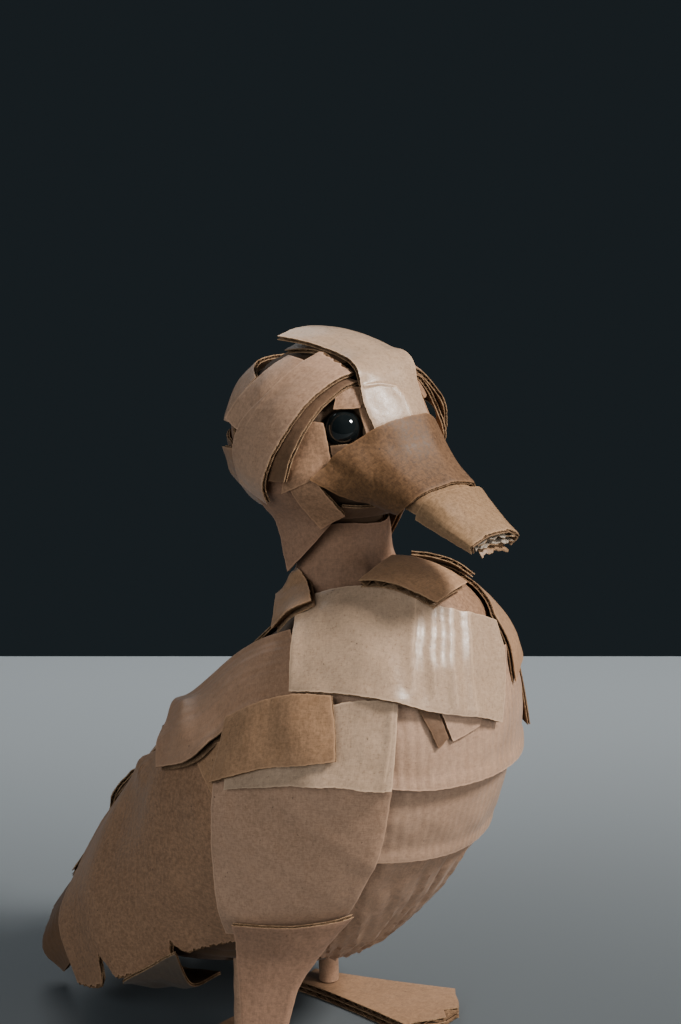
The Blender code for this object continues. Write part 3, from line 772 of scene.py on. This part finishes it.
def lay_sheet(name, grid, card, face, node_names, look):
    """A sheet as corrugated card: outer liner, flutes and inner liner. Thin card is one layer."""
    sheet = Sheet(grid, card, look)
    piece = Piece(name)
    flute = FLUTE_PITCH[card]
    fine = flute / STEPS_A_FLUTE
    counts = sheet.counts(fine * look.fine, FINE_STEP * look.fine)
    points, normals, over, uv, gap = sheet.settled(counts, torn=look.torn)
    ribs = np.cos(over / flute * math.tau) * RIB_HEIGHT[card] * look.ribs * ramp(gap, 0, RIB_REACH)
    pressed = -PRESSED * (1 - ramp(gap, 0, PRESSED_REACH))
    top = points + normals * (ribs + pressed)[..., None]
    ply = card if card == THIN else PAPER
    piece.slab(top, top - normals * ply, uv, gap * 1000, FACE, CUT, BACK)
    add_to_pile(top)

    if card != THIN:
        worked = look.relief is not None or len(look.creases) > 0
        counts = sheet.counts(fine, FINE_STEP if worked else FLUTE_STEP)
        points, normals, over, uv, gap = sheet.settled(counts, FLUTE_INSET)
        swing = (card - 2 * PAPER - FLUTE_PLY) / 2
        middle = points + normals * (np.cos(over / flute * math.tau) * swing - card / 2)[..., None]
        half = normals * (FLUTE_PLY / 2)
        piece.slab(middle + half, middle - half, uv, gap * 1000, WAVE, WAVE, WAVE)

        step = FINE_STEP if worked else BACK_STEP
        points, normals, over, uv, gap = sheet.settled(sheet.counts(step, step))
        low = points - normals * card
        piece.slab(low + normals * PAPER, low, uv, gap * 1000, BACK, CUT, BACK)
    piece.finish([face, EDGE, FLUTE, INSIDE], node_names)


strips = {}


def edge_toward(grid, way):
    """The name of the edge whose middle lies furthest along a way."""
    edges = {"start": grid[0], "end": grid[-1], "near": grid[:, 0], "far": grid[:, -1]}
    return max(edges, key=lambda name: edges[name].mean(0) @ np.array(way))


def edge_share(name, pixel):
    """The edge a pixel lies nearest to, and the share of its length it falls at."""
    u, v = place_on(name, pixel)
    edge = min((abs(u), "start"), (abs(1 - u), "end"), (abs(v), "near"), (abs(1 - v), "far"))[1]
    return edge, v if edge in ("start", "end") else u


def lay_card(name, face, shape=None, torn=(), creases=(), rolled=(), notches=(), **settings):
    """A strip of the CAD model as corrugated card. Torn is a list of ways, with how far the
    liner is torn back at the edge that lies furthest that way, rolled a list of ways with
    the rise and width of the turn. Creases are lines of pixels of the photograph, with
    their height and width, and notches pixels, with half their width and their depth."""
    grid, own_card = strip_grid(name)
    if shape is not None:
        grid = shape(grid)
    strips[name] = grid
    back = {edge_toward(grid, way): amount for way, amount in torn}
    lines = [([place_on(name, pixel) for pixel in line], high, wide) for line, high, wide in creases]
    turned = {edge_toward(grid, way): (rise, reach) for way, rise, reach in rolled}
    cuts = [(*edge_share(name, pixel), half, deep) for pixel, half, deep in notches]
    look = Look(torn=back, creases=lines, rolled=turned, notches=cuts, **settings)
    lay_sheet(name + "_sheet", grid, own_card, face, [name], look)


MARGIN = 0.35
SEARCH_STEPS = 171


def seen_at(points):
    """Where the photograph shows each point, in pixels."""
    away = np.asarray(points) - np.array(look_at + to_camera * CAMERA_DISTANCE)
    depth = -(away @ np.array(to_camera))
    x = IMAGE_SIZE[0] / 2 + FOCAL_PIXELS * (away @ np.array(camera_right)) / depth
    y = IMAGE_SIZE[1] / 2 - FOCAL_PIXELS * (away @ np.array(camera_up)) / depth
    return np.stack([x, y], -1)


def place_on(name, pixel):
    """The shares of a strip, or of its plane just past it, that a pixel falls on."""
    shares = np.linspace(-MARGIN, 1 + MARGIN, SEARCH_STEPS)
    points = stretched(strips[name], shares, shares)
    facing = outward(points) @ np.array(to_camera)
    if facing[SEARCH_STEPS // 2, SEARCH_STEPS // 2] < 0:
        facing = -facing
    miss = np.linalg.norm(seen_at(points) - np.array(pixel), axis=-1) + np.where(facing < 0, 50, 0)
    i, j = np.unravel_index(np.argmin(miss), miss.shape)
    return shares[i], shares[j]


def stretched(grid, us, vs):
    """A strip's surface at shares that may lie a little past its edges."""
    inside_u = np.clip(us, 0, 1)
    inside_v = np.clip(vs, 0, 1)
    points = surface(grid, inside_u, inside_v)
    step = 0.05
    along = surface(grid, np.abs(inside_u - step), inside_v)
    along = (points - along) / (inside_u - np.abs(inside_u - step))[:, None, None]
    across = surface(grid, inside_u, np.abs(inside_v - step))
    across = (points - across) / (inside_v - np.abs(inside_v - step))[None, :, None]
    return points + along * (us - inside_u)[:, None, None] + across * (vs - inside_v)[None, :, None]


def spread_out(corners, count):
    """Places in rows between four corners."""
    a, b, c, d = (np.array(corner) for corner in corners)
    s, t = (way[..., None] for way in shares(count, count))
    return (a * (1 - t) + b * t) * (1 - s) + (d * (1 - t) + c * t) * s


def patch(name, corners):
    """A four-cornered sheet on a strip's outer face, its corners given in shares of it."""
    places = spread_out(corners, 4)
    grid = np.empty((4, 4, 3))
    for i, j in np.ndindex(4, 4):
        grid[i, j] = stretched(strips[name], places[i, j, :1], places[i, j, 1:])[0, 0]
    return grid


def add_chip(name, carrier, pixels, face, stand):
    """A small piece of card on a strip, its corners given as pixels of the photograph."""
    if carrier not in strips:
        strips[carrier] = strip_grid(carrier)[0]
    grid = patch(carrier, [place_on(carrier, pixel) for pixel in pixels])
    rows, columns = (size // 2 for size in strips[carrier].shape[:2])
    grid = facing(grid, outward(strips[carrier])[rows, columns])
    grid = grid + outward(grid) * stand
    lay_sheet(name, grid, LINER, face, [], Look())


# The form under the strips, built up of flat layers of card

LAYER = 0.0031
FORM_GRAIN = 0.0015
FORM_SINK = 0.0003
LAYER_CUT = 0.0007


def add_form():
    source = nodes["card_form"]
    obj = bpy.data.objects.new("card_form_copy", source.data.copy())
    bpy.context.scene.collection.objects.link(obj)
    grain = obj.modifiers.new("grain", "REMESH")
    grain.mode = "VOXEL"
    grain.voxel_size = FORM_GRAIN
    soft = obj.modifiers.new("soft", "SMOOTH")
    soft.factor = 0.5
    soft.iterations = 6
    graph = bpy.context.evaluated_depsgraph_get()
    mesh = bpy.data.meshes.new_from_object(obj.evaluated_get(graph))
    bpy.data.objects.remove(obj)
    spots = corners_of(mesh)
    normals = np.array([n.vector for n in mesh.vertex_normals])
    step = np.abs((spots[:, 2] / LAYER) % 1 - 0.5) * 2
    depth = FORM_SINK + LAYER_CUT * (1 - np.minimum(1.0, step * 3))
    spots -= normals * depth[:, None]
    mesh.vertices.foreach_set("co", spots.ravel())
    mesh.polygons.foreach_set("use_smooth", np.ones(len(mesh.polygons), dtype=bool))
    mesh.uv_layers.new(name="sheet")
    mesh.materials.clear()
    # The form is painted nearly black: painted shade in the gaps between the strips
    mesh.materials.append(CORE_PAINTED_SHADE)
    add_object("card_form_layers", mesh, ["card_form"])


add_form()
add_to_pile(*welded("card_form"))
add_to_pile(*welded("bill_core"))

# Thin card glued straight onto the form, which shows between the strips

BODY_CENTRE = np.array((0.0, 0.008, 0.065))
HEAD_CENTRE = np.array((0.0, 0.0, 0.155))
UNDERLAY_STAND = 0.0007


def add_underlay(name, centre, turns, rises, face, seed):
    """A thin sheet on the form, between two turns from straight back and two rises, in degrees."""
    rows = []
    for rise in np.radians(np.linspace(*rises, 9)):
        row = []
        for turn in np.radians(np.linspace(*turns, 9)):
            way = Vector((math.sin(turn) * math.cos(rise), math.cos(turn) * math.cos(rise), math.sin(rise)))
            spot, normal, _, _ = form_skin.ray_cast(Vector(centre), way)
            row.append(np.array(spot) + np.array(way) * UNDERLAY_STAND)
        rows.append(row)
    grid = np.array(rows)
    grid = facing(grid, grid[4, 4] - centre)
    look = Look(seed=seed, waves=0.0001, torn={"start": 0.0008, "end": 0.0008})
    lay_sheet(name, grid, THIN, face, [], look)


# Eyes


def add_eye(side):
    name = "eye_" + side
    low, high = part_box(name)
    centre = middle_of(name)
    radius = (high[2] - low[2]) / 2
    bm = bmesh.new()
    bmesh.ops.create_uvsphere(bm, u_segments=EYE_SEGMENTS, v_segments=EYE_SEGMENTS // 2, radius=radius)
    bmesh.ops.translate(bm, verts=bm.verts, vec=centre)
    for face in bm.faces:
        face.smooth = True
    mesh = mesh_from(bm, name + "_bead")
    mesh.materials.append(BEAD)
    add_object(name + "_bead", mesh, [name])
    add_to_pile(corners_of(mesh), [p.vertices for p in mesh.polygons])


add_eye("right")
add_eye("left")

# The head's own directions, and the flaps of paper round each eye

HEAD_TURN = 12.0
EYE_BEARING = 37.0
EYE_ELEVATION = 12.0
HEAD_CURVE = 0.024
FLAP_STAND = 0.0034

turn = math.radians(HEAD_TURN)
head_front = Vector((-math.sin(turn), -math.cos(turn), 0))
head_left = Vector((math.cos(turn), -math.sin(turn), 0))
up = Vector((0, 0, 1))

# Corners ahead of and above the bead's middle, in bead radii, and how far a flap lies in
FLAPS = {
    "lid": (((-0.80, -0.86), (1.16, -0.72), (1.20, -2.3), (-0.50, -2.2)), 0.0010),
    "rear": (((-1.12, 0.30), (-0.62, -2.05), (-3.1, -3.2), (-2.9, 0.6)), 0.0),
    "front": (((0.66, 1.35), (1.16, -0.95), (2.5, -1.2), (1.9, 1.7)), 0.0),
    "top": (((-0.62, 0.97), (0.84, 0.99), (1.3, 2.2), (-0.3, 2.2)), -0.0001),
}


def add_flaps(side, sign):
    """Small paper flaps that leave the bead a five-cornered opening."""
    low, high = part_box("eye_" + side)
    radius = (high[2] - low[2]) / 2
    centre = middle_of("eye_" + side)
    bearing = math.radians(EYE_BEARING)
    rise = math.radians(EYE_ELEVATION)
    flat = head_front * math.cos(bearing) + head_left * (sign * math.sin(bearing))
    out = flat * math.cos(rise) + up * math.sin(rise)
    ahead = (up.cross(out) * -sign).normalized()
    above = out.cross(ahead) * sign
    if above.z < 0:
        above = -above
    for number, (label, (corners, depth)) in enumerate(FLAPS.items()):
        places = spread_out(corners, 5) * radius
        x = places[..., :1]
        y = places[..., 1:]
        height = FLAP_STAND - depth - (x * x + y * y) / (2 * HEAD_CURVE)
        grid = np.array(centre) + np.array(ahead) * x + np.array(above) * y + np.array(out) * height
        grid = facing(grid, out)
        replaced = ["eye_rim_" + side] if label == "rear" else []
        look = Look(seed=number + 5, waves=0.00008)
        # The lid is cut from the dark brown card, as painted shade under its edge
        face = BROWN if label == "lid" else TAWNY
        name = "eye_flap_" + label + "_" + side
        lay_sheet(name, grid, THIN, face, replaced, look)


# The strips, from the lowest layer up


def both(name, *args, **settings):
    for k, side in enumerate(("_left", "_right")):
        lay_card(name + side, *args, seed=len(name) + 3 * k, **settings)


# Corners of the small loose pieces, as pixels of the photograph

YOKE_CHIP = ((427, 690), (484, 700), (478, 726), (451, 741))
YOKE_CHIP_UNDER = ((404, 690), (428, 694), (446, 738), (436, 748))
OCHRE_CHIP = ((196, 752), (224, 740), (229, 806), (222, 808))
BACK_TAB_HIGH = ((186, 704), (188, 724), (160, 731), (152, 715))
BACK_TAB_LOW = ((142, 772), (146, 788), (110, 800), (104, 791))

# Notches in the flank's lower edge: a pixel, half the width and the depth
FLANK_NOTCHES = (((108, 984), 0.0034, 0.0062), ((182, 962), 0.0030, 0.0040))

# Lines folded or pressed into the strips, as pixels of the photograph

CROWN_CREASE = ((366, 386), (380, 383), (395, 386), (405, 397), (411, 412), (416, 428))
BROW_FOLD = ((304, 352), (286, 372), (266, 396), (252, 414), (246, 426))
SADDLE_CREASE = ((323, 456), (330, 468))
SADDLE_BEND = ((345, 489), (352, 479), (357, 470))
SADDLE_SOFT = ((369, 505), (374, 488), (372, 470))
FOLD_BEND = ((394, 700), (391, 740), (384, 782))
YOKE_RIDGES = (
    ((416, 598), (413, 645), (415, 690)),
    ((433, 604), (432, 655), (436, 700)),
    ((450, 610), (452, 660), (455, 706)),
    ((467, 610), (471, 660), (474, 712)),
)

DOWN = (0, 0, -1)
FORWARD = tuple(head_front)
SEEN_RIGHT = tuple(camera_right)


def wrinkles(u, v):
    """Uneven folds that run down a band."""
    place = u * 1000
    folds = np.sin(place * 0.9 + np.sin(v * 400) * 0.8) + 0.7 * np.sin(place * 1.7 + v * 300)
    return (folds + 0.5 * np.sin(place * 3.1 + v * 700)) * 0.00028


# How far the neck's band is moved out and up or down, at its top edge and its foot
NECK_TOP = (-0.0016, 0.0036)
NECK_FOOT = (0.0012, -0.0056)


def taller_neck(grid):
    """The neck's band reaches up under the head and down onto the yoke."""
    middle = grid.reshape(-1, 3).mean(0)
    made = grid.copy()
    for i, j in np.ndindex(grid.shape[:2]):
        out = (grid[i, j] - middle) * (1, 1, 0)
        away, rise = NECK_FOOT if grid[i, j, 2] < middle[2] else NECK_TOP
        made[i, j] += out / np.linalg.norm(out) * away + (0, 0, rise)
    return made


# How far the near wing is slid to the photograph's right, and how far its tip's foot is
WING_SLIDE = 0.0024
TIP_SLIDE = 0.0074


def slid(grid, at_top, at_foot):
    """A strip slid along its own surface to the seen right, its top and its foot by their own amounts."""
    edge = edge_toward(grid, SEEN_RIGHT)
    way = 0 if edge in ("start", "end") else 1
    span = np.linalg.norm(np.diff(grid, axis=way), axis=2).sum(way).mean()
    if edge in ("start", "near"):
        span = -span
    low, high = grid[..., 2].min(), grid[..., 2].max()
    made = grid.copy()
    for i, j in np.ndindex(grid.shape[:2]):
        top = (grid[i, j, 2] - low) / (high - low)
        place = [i / (grid.shape[0] - 1), j / (grid.shape[1] - 1)]
        place[way] += (at_foot + (at_top - at_foot) * top) / span
        made[i, j] = stretched(grid, *(np.array([share]) for share in place))[0, 0]
    return made


add_underlay("underlay_low", BODY_CENTRE, (-62, 62), (-22, 6), TAWNY, 31)
add_underlay("underlay_middle", BODY_CENTRE, (-66, 66), (2, 36), BROWN, 32)
add_underlay("underlay_high", BODY_CENTRE, (-80, 80), (32, 62), TAWNY, 33)
add_underlay("underlay_front", BODY_CENTRE, (148, 212), (14, 48), TAWNY, 34)
# The head's underlay is cut from the kraft darkened as painted shade
add_underlay("underlay_head", HEAD_CENTRE, (-72, 72), (-26, 34), SHADED_KRAFT, 35)
lay_card("belly_strip", GREY, seed=2)
both("tail_side", BROWN, torn=[(DOWN, 0.0012)])
add_chip("back_tab_high", "flank_right", BACK_TAB_HIGH, BROWN, -0.0006)
add_chip("back_tab_low", "flank_right", BACK_TAB_LOW, BROWN, -0.0006)
lay_card("flank_left", TAWNY, torn=[(DOWN, 0.0010)], wave_size=0.024, waves=0.0005, seed=5)
lay_card(
    "flank_right", TAWNY, torn=[(DOWN, 0.0010)], wave_size=0.024, waves=0.0005, seed=8,
    notches=FLANK_NOTCHES,
)
both("belly_side", GREY)
add_chip("ochre_chip", "flank_right", OCHRE_CHIP, OCHRE, 0.0004)
lay_card("back_strip", GREY, seed=4)
lay_card("tail_top", KRAFT, torn=[(DOWN, 0.0012)], seed=5)
lay_card("chest_band_low", KRAFT, relief=wrinkles, flutes="along", seed=6)
lay_card("chest_band_middle", RIBBED, seed=7, ribs=1.0, curl=0.0007)
lay_card("chest_band_top", RIBBED, seed=8, ribs=1.0, curl=0.0008)
lay_card("wing_left", KRAFT, flutes="along", seed=4)
lay_card(
    "wing_right", KRAFT, flutes="along", ribs=0.2, seed=7, rolled=[(SEEN_RIGHT, 0.0006, 0.0026)],
    shape=lambda grid: slid(grid, WING_SLIDE, WING_SLIDE),
)
# The wing tips are cut from the kraft darkened as painted shade
lay_card("wing_tip_left", SHADED_KRAFT, flutes="along", seed=8)
lay_card(
    "wing_tip_right", SHADED_KRAFT, flutes="along", ribs=0.2, seed=11, rolled=[(SEEN_RIGHT, 0.0009, 0.0026)],
    shape=lambda grid: slid(grid, WING_SLIDE, TIP_SLIDE),
)
both("scapular", SCAPULAR, flutes="along", ribs=0.5, curl=0.0005)
lay_card("wing_fold_left", PALE, waves=0.0003, seed=9)
lay_card(
    "wing_fold_right", PALE, waves=0.0002, curl=0.0003, seed=12,
    rolled=[(SEEN_RIGHT, 0.0004, 0.0030)], creases=[(FOLD_BEND, 0.0005, 0.0020)],
)
both("wing_cover", OCHRE, waves=0.0001)
lay_card("yoke_left", OCHRE, seed=9)
add_chip("yoke_chip_under", "chest_band_top", YOKE_CHIP_UNDER, BROWN, 0.0004)
add_chip("yoke_chip", "chest_band_top", YOKE_CHIP, RIBBED, 0.0008)
lay_card(
    "yoke_right", PALE, ribs=0.1, curl=0.0005, seed=10,
    creases=[(line, 0.0006, 0.0018) for line in YOKE_RIDGES],
)
lay_card("neck_back", BROWN, seed=11)
# The neck's band is cut from the kraft darkened as painted shade under the head
lay_card("neck_front", SHADED_KRAFT, shape=taller_neck, waves=0.0004, seed=12)
lay_card("collar_left", OCHRE, seed=13)
both("collar_side", OCHRE)
lay_card("collar_front", OCHRE, seed=14)
lay_card("nape", BROWN, seed=15)
lay_card("back_of_head", KRAFT, seed=16)
both("crown_side", KRAFT)
lay_card("throat", BROWN, seed=17)
both("nape_side", TAWNY)
# The cheeks are cut from the kraft darkened as painted shade
both("cheek", SHADED_KRAFT)
both("jaw", TAWNY)
add_flaps("right", RIGHT)
add_flaps("left", LEFT)
both("under_brow", BROWN, torn=[(FORWARD, 0.0006)], fine=0.7)

lay_card("brow_left", KRAFT, seed=18)
lay_card(
    "brow_right", KRAFT, torn=[(FORWARD, 0.0010)], fine=0.6, seed=19,
    creases=[(BROW_FOLD, 0.00022, 0.0007)],
)
lay_card("under_crown", BROWN, seed=20)
lay_card(
    "crown", PALE, fine=0.6, ribs=0.0, seed=21,
    creases=[(CROWN_CREASE, 0.00034, 0.0005)],
)
lay_card("bill_wrap", SAND, ribs=0.0, seed=22)
lay_card(
    "saddle", MOTTLED, fine=0.6, ribs=0.0, seed=23,
    creases=[
        (SADDLE_CREASE, 0.00022, 0.0006), (SADDLE_BEND, 0.00025, 0.0009), (SADDLE_SOFT, -0.0003, 0.0020),
    ],
)
lay_card("bill_tip_wrap", SAND, fine=0.7, ribs=0.1, torn=[(FORWARD, 0.0004)], seed=24)

# Legs rolled from card, and feet of corrugated card

LEG_TURNS = 1.9
LEG_WALL = 0.0006
LEG_GAP = 0.0001
LEG_RINGS = 26
LEG_SIDES = 76
LEG_DENT = 0.00006


def add_leg(side, first_turn):
    """A leg rolled from card, which shows as a spiral at its ends."""
    name = "leg_" + side
    low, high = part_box(name)
    centre = middle_of(name)
    radius = (high[0] - low[0]) / 2
    heights = np.linspace(low[2], high[2], LEG_RINGS)
    z, share = np.meshgrid(heights, np.linspace(0, 1, LEG_SIDES + 1), indexing="ij")
    angle = math.tau * LEG_TURNS * share + first_turn
    reach = radius - LEG_GAP - (LEG_WALL + LEG_GAP) * LEG_TURNS * (1 - share)
    reach += LEG_DENT * np.sin(z * 900 + angle * 3)
    out = np.stack([np.cos(angle), np.sin(angle), np.zeros(z.shape)], -1)
    outer = np.stack([np.full(z.shape, centre.x), np.full(z.shape, centre.y), z], -1)
    outer += out * reach[..., None]
    inner = outer - out * LEG_WALL
    if outward(outer)[5, 5] @ out[5, 5] < 0:
        outer = outer[:, ::-1]
        inner = inner[:, ::-1]
    v, u = np.meshgrid(np.arange(LEG_SIDES + 1) * 0.5, np.arange(LEG_RINGS) * 1.0)
    edge = np.minimum(v, (LEG_SIDES + 1) * 0.5 - v)
    piece = Piece(name + "_roll")
    piece.slab(outer, inner, np.stack([u, v], -1), edge, 0, 1, 2)
    piece.finish([KRAFT, EDGE, INSIDE], [name])


add_leg("right", 0.4)
add_leg("left", 2.1)


def foot_outline(name):
    """The loop of corners round a foot's top face, and its height."""
    spots, tris = welded(name)
    high = spots[:, 2].max()
    flat = tris[(spots[tris][:, :, 2] > high - 1e-5).all(axis=1)]
    return spots[border(flat)], high


FOOT_OVERHANG = 1.02
FOOT_PITCH = FLUTE_PITCH[BOARD] * 0.8
FOOT_MARGIN = 0.0004
FLUTE_MARGIN = 0.0002


def add_liner(bm, loop, top, bottom):
    """A flat sheet of paper between two heights, cut along a loop of points."""
    count = len(loop)
    upper = [bm.verts.new((p[0], p[1], top)) for p in loop]
    lower = [bm.verts.new((p[0], p[1], bottom)) for p in loop]
    bm.faces.new(upper).material_index = 0
    bm.faces.new(lower[::-1]).material_index = 2
    for k in range(count):
        after = (k + 1) % count
        bm.faces.new((lower[k], lower[after], upper[after], upper[k])).material_index = 1


def add_flutes(bm, loop, low, high):
    """Waved paper between two heights, as wide as a loop of points at each place."""
    rows = []
    for y in np.arange(loop[:, 1].min() + FOOT_MARGIN, loop[:, 1].max() - FOOT_MARGIN, FOOT_PITCH / 8):
        sides = []
        for a, b in zip(loop, np.roll(loop, -1, 0)):
            if (a[1] - y) * (b[1] - y) < 0:
                sides.append(a[0] + (b[0] - a[0]) * (y - a[1]) / (b[1] - a[1]))
        wave = (math.cos(y / FOOT_PITCH * math.tau) + 1) / 2
        z = low + PAPER / 2 + (high - low - PAPER) * wave
        ends = [min(sides) + FLUTE_MARGIN, max(sides) - FLUTE_MARGIN]
        places = [(x, y, z + shift) for shift in (PAPER / 2, -PAPER / 2) for x in ends]
        rows.append([bm.verts.new(place) for place in places])
    for a, b in zip(rows[:-1], rows[1:]):
        for j, k in ((0, 1), (3, 2), (2, 0), (1, 3)):
            bm.faces.new((a[j], a[k], b[k], b[j])).material_index = 2
    for row, order in ((rows[0], (0, 2, 3, 1)), (rows[-1], (0, 1, 3, 2))):
        bm.faces.new([row[k] for k in order]).material_index = 2


def add_foot(side):
    """A web of corrugated card: three liners with flutes between them."""
    name = "foot_" + side
    loop, high = foot_outline(name)
    middle = loop.mean(0)
    loop = middle + (loop - middle) * FOOT_OVERHANG
    bm = bmesh.new()
    uv = bm.loops.layers.uv.new("sheet")
    half = high / 2
    for top, bottom in ((high, high - PAPER), (half + PAPER / 2, half - PAPER / 2), (PAPER, 0.0)):
        add_liner(bm, loop, top, bottom)
    for face in bm.faces:
        for corner in face.loops:
            corner[uv].uv = (corner.vert.co.x * 1000, corner.vert.co.y * 1000)
    for base, top in ((PAPER, half - PAPER / 2), (half + PAPER / 2, high - PAPER)):
        add_flutes(bm, loop, base, top)
    bmesh.ops.recalc_face_normals(bm, faces=bm.faces)
    mesh = mesh_from(bm, name + "_web")
    edge = mesh.attributes.new("edge", "FLOAT", "POINT")
    edge.data.foreach_set("value", np.full(len(mesh.vertices), 3.0))
    for material in (OCHRE, EDGE, FLUTE):
        mesh.materials.append(material)
    add_object(name + "_web", mesh, [name])


add_foot("right")
add_foot("left")

# The open end of the bill, with crumpled paper in it

BILL_CUT = 0.0030
FILLING_DEPTH = 0.0060
FILLING_LAYERS = 3
FILLING_SHEET = 0.0003
FILLING_INSET = 0.0016
FILLING_FLOOR = 0.0010
FILLING_ROOF = 0.0018
FILLING_REACH = (0.0011, 0.0002, -0.0002)


def add_bill_end():
    wrap = strips["bill_tip_wrap"]
    name = edge_toward(wrap, FORWARD)
    ends = {"start": (wrap[0], wrap[-1]), "end": (wrap[-1], wrap[0])}
    ends.update({"near": (wrap[:, 0], wrap[:, -1]), "far": (wrap[:, -1], wrap[:, 0])})
    ring, behind = ends[name]
    tip = ring.mean(0)
    along = tip - behind.mean(0)
    along /= np.linalg.norm(along)
    across = np.array(head_left)
    over = np.cross(along, across)
    over *= np.sign(over[2])
    wide = np.abs((ring - tip) @ across).max() - FILLING_INSET
    heights = (ring - tip) @ over

    bm = bmesh.new()
    bm.from_mesh(nodes["bill_core"].data)
    bmesh.ops.remove_doubles(bm, verts=bm.verts, dist=1e-6)
    parts = bm.verts[:] + bm.edges[:] + bm.faces[:]
    cut = bmesh.ops.bisect_plane(
        bm, geom=parts, plane_co=tip - along * BILL_CUT, plane_no=along, clear_outer=True
    )
    rim = [e for e in cut["geom_cut"] if isinstance(e, bmesh.types.BMEdge)]
    bmesh.ops.edgeloop_fill(bm, edges=rim)
    bmesh.ops.recalc_face_normals(bm, faces=bm.faces)
    mesh = mesh_from(bm, "bill_core_cut")
    mesh.uv_layers.new(name="sheet")
    mesh.materials.clear()
    mesh.materials.append(TAWNY)
    add_object("bill_core_cut", mesh, ["bill_core"])

    for k in range(FILLING_LAYERS):
        share = k / (FILLING_LAYERS - 1)
        lowest = heights.min() + FILLING_FLOOR
        height = lowest + (heights.max() - FILLING_ROOF - lowest) * share
        s, t = np.meshgrid(np.linspace(0, 1, 22), np.linspace(-1, 1, 30), indexing="ij")
        narrow = wide * (0.72 if k == 0 else 0.98 - 0.1 * share)
        fray = 0.00035 * np.sin(t * 11 + k * 2.1) * s + 0.00015 * np.sin(t * 31 + k) * s
        x = (s - 1) * FILLING_DEPTH + FILLING_REACH[k] * s + fray
        points = tip + along * x[..., None] + across * (t * narrow)[..., None]
        crumple = wander(points, 0.0050, k * 2.3 + 1) * 0.0005 * (0.3 + s)
        bow = -0.0006 * t * t
        points = facing(points + over * (height + crumple + bow)[..., None], over)
        piece = Piece("bill_filling_" + str(k + 1))
        uv = np.stack([s, t], -1) * 8
        low = points - outward(points) * FILLING_SHEET
        piece.slab(points, low, uv, np.full(s.shape, 2.0), 0, 1, 0)
        face = SAND if k == 0 else FILLING
        piece.finish([face, EDGE], [])


add_bill_end()

# Floor, backdrop and light

FLOOR_REACH = 0.358
FLOOR_WIDTH = 1.2
# Near the camera the floor is painted dark: painted shade, the light's falloff painted into its colour
FLOOR_NEAR_PAINTED_SHADE = (0.080, 0.091, 0.098)
FLOOR_FAR = (0.30, 0.34, 0.37)
FLOOR_PALE = (0.33, 0.365, 0.395)
BACKDROP = (0.012, 0.0165, 0.0195, 1)

# Each light: how far it stands right of, above and in front of the duck, its size, its
# power, its colour and whether it is mirrored in what shines
LIGHTS = (
    ("key", (0.66, 0.64, 0.33), 0.20, 19.0, (1.0, 0.96, 0.91), True),
    ("fill", (-0.7, 0.16, 1.0), 0.9, 8.5, (0.92, 0.97, 1.0), False),
    ("chest", (0.8, -0.02, 0.55), 0.7, 5.0, (1.0, 0.98, 0.95), False),
    ("back", (-0.3, 0.8, -0.8), 0.7, 2.4, (0.92, 0.97, 1.0), True),
)


def add_floor():
    """A pale table top that ends behind the duck, as far off as in the photograph. Towards the camera it is
    painted dark, as painted shade where the light falls off.
    """
    bm = bmesh.new()
    bmesh.ops.create_grid(bm, x_segments=1, y_segments=1, size=0.5)
    mesh = mesh_from(bm, "floor")
    g = Graph("floor_tone_and_painted_shade")
    tone = g.noise(g.space(1.0), 4.0, 2.0)
    split = g.add("SeparateXYZ", {0: g.space(1.0)})
    # Darker towards the camera: painted shade
    away = g.range(split.outputs[1], -0.05, 0.5)
    far = g.mix(tone, FLOOR_FAR, FLOOR_PALE)
    g.paint({"Base Color": g.mix(away, FLOOR_NEAR_PAINTED_SHADE, far), "Roughness": 0.55})
    mesh.materials.append(g.material)
    obj = bpy.data.objects.new("floor", mesh)
    obj.scale = (FLOOR_WIDTH * 2, FLOOR_REACH * 2, 1)
    obj.rotation_euler = (0, 0, azimuth)
    obj.location = (look_at.x, look_at.y, 0)
    bpy.context.scene.collection.objects.link(obj)


def add_light(name, place, size, power, colour, mirrored):
    data = bpy.data.lights.new(name, "AREA")
    data.shape = "SQUARE"
    data.size = size
    data.energy = power
    data.color = colour
    obj = bpy.data.objects.new(name, data)
    obj.location = place
    obj.rotation_mode = "QUATERNION"
    obj.rotation_quaternion = (place - look_at).to_track_quat("Z", "Y")
    obj.visible_glossy = mirrored
    bpy.context.scene.collection.objects.link(obj)


add_floor()
for name, place, size, power, colour, mirrored in LIGHTS:
    spot = look_at + camera_right * place[0] + up * place[1] + to_camera * place[2]
    add_light(name, spot, size, power, colour, mirrored)

world = bpy.data.worlds.new("studio")
world.use_nodes = True
world.node_tree.nodes["Background"].inputs["Color"].default_value = BACKDROP
bpy.context.scene.world = world
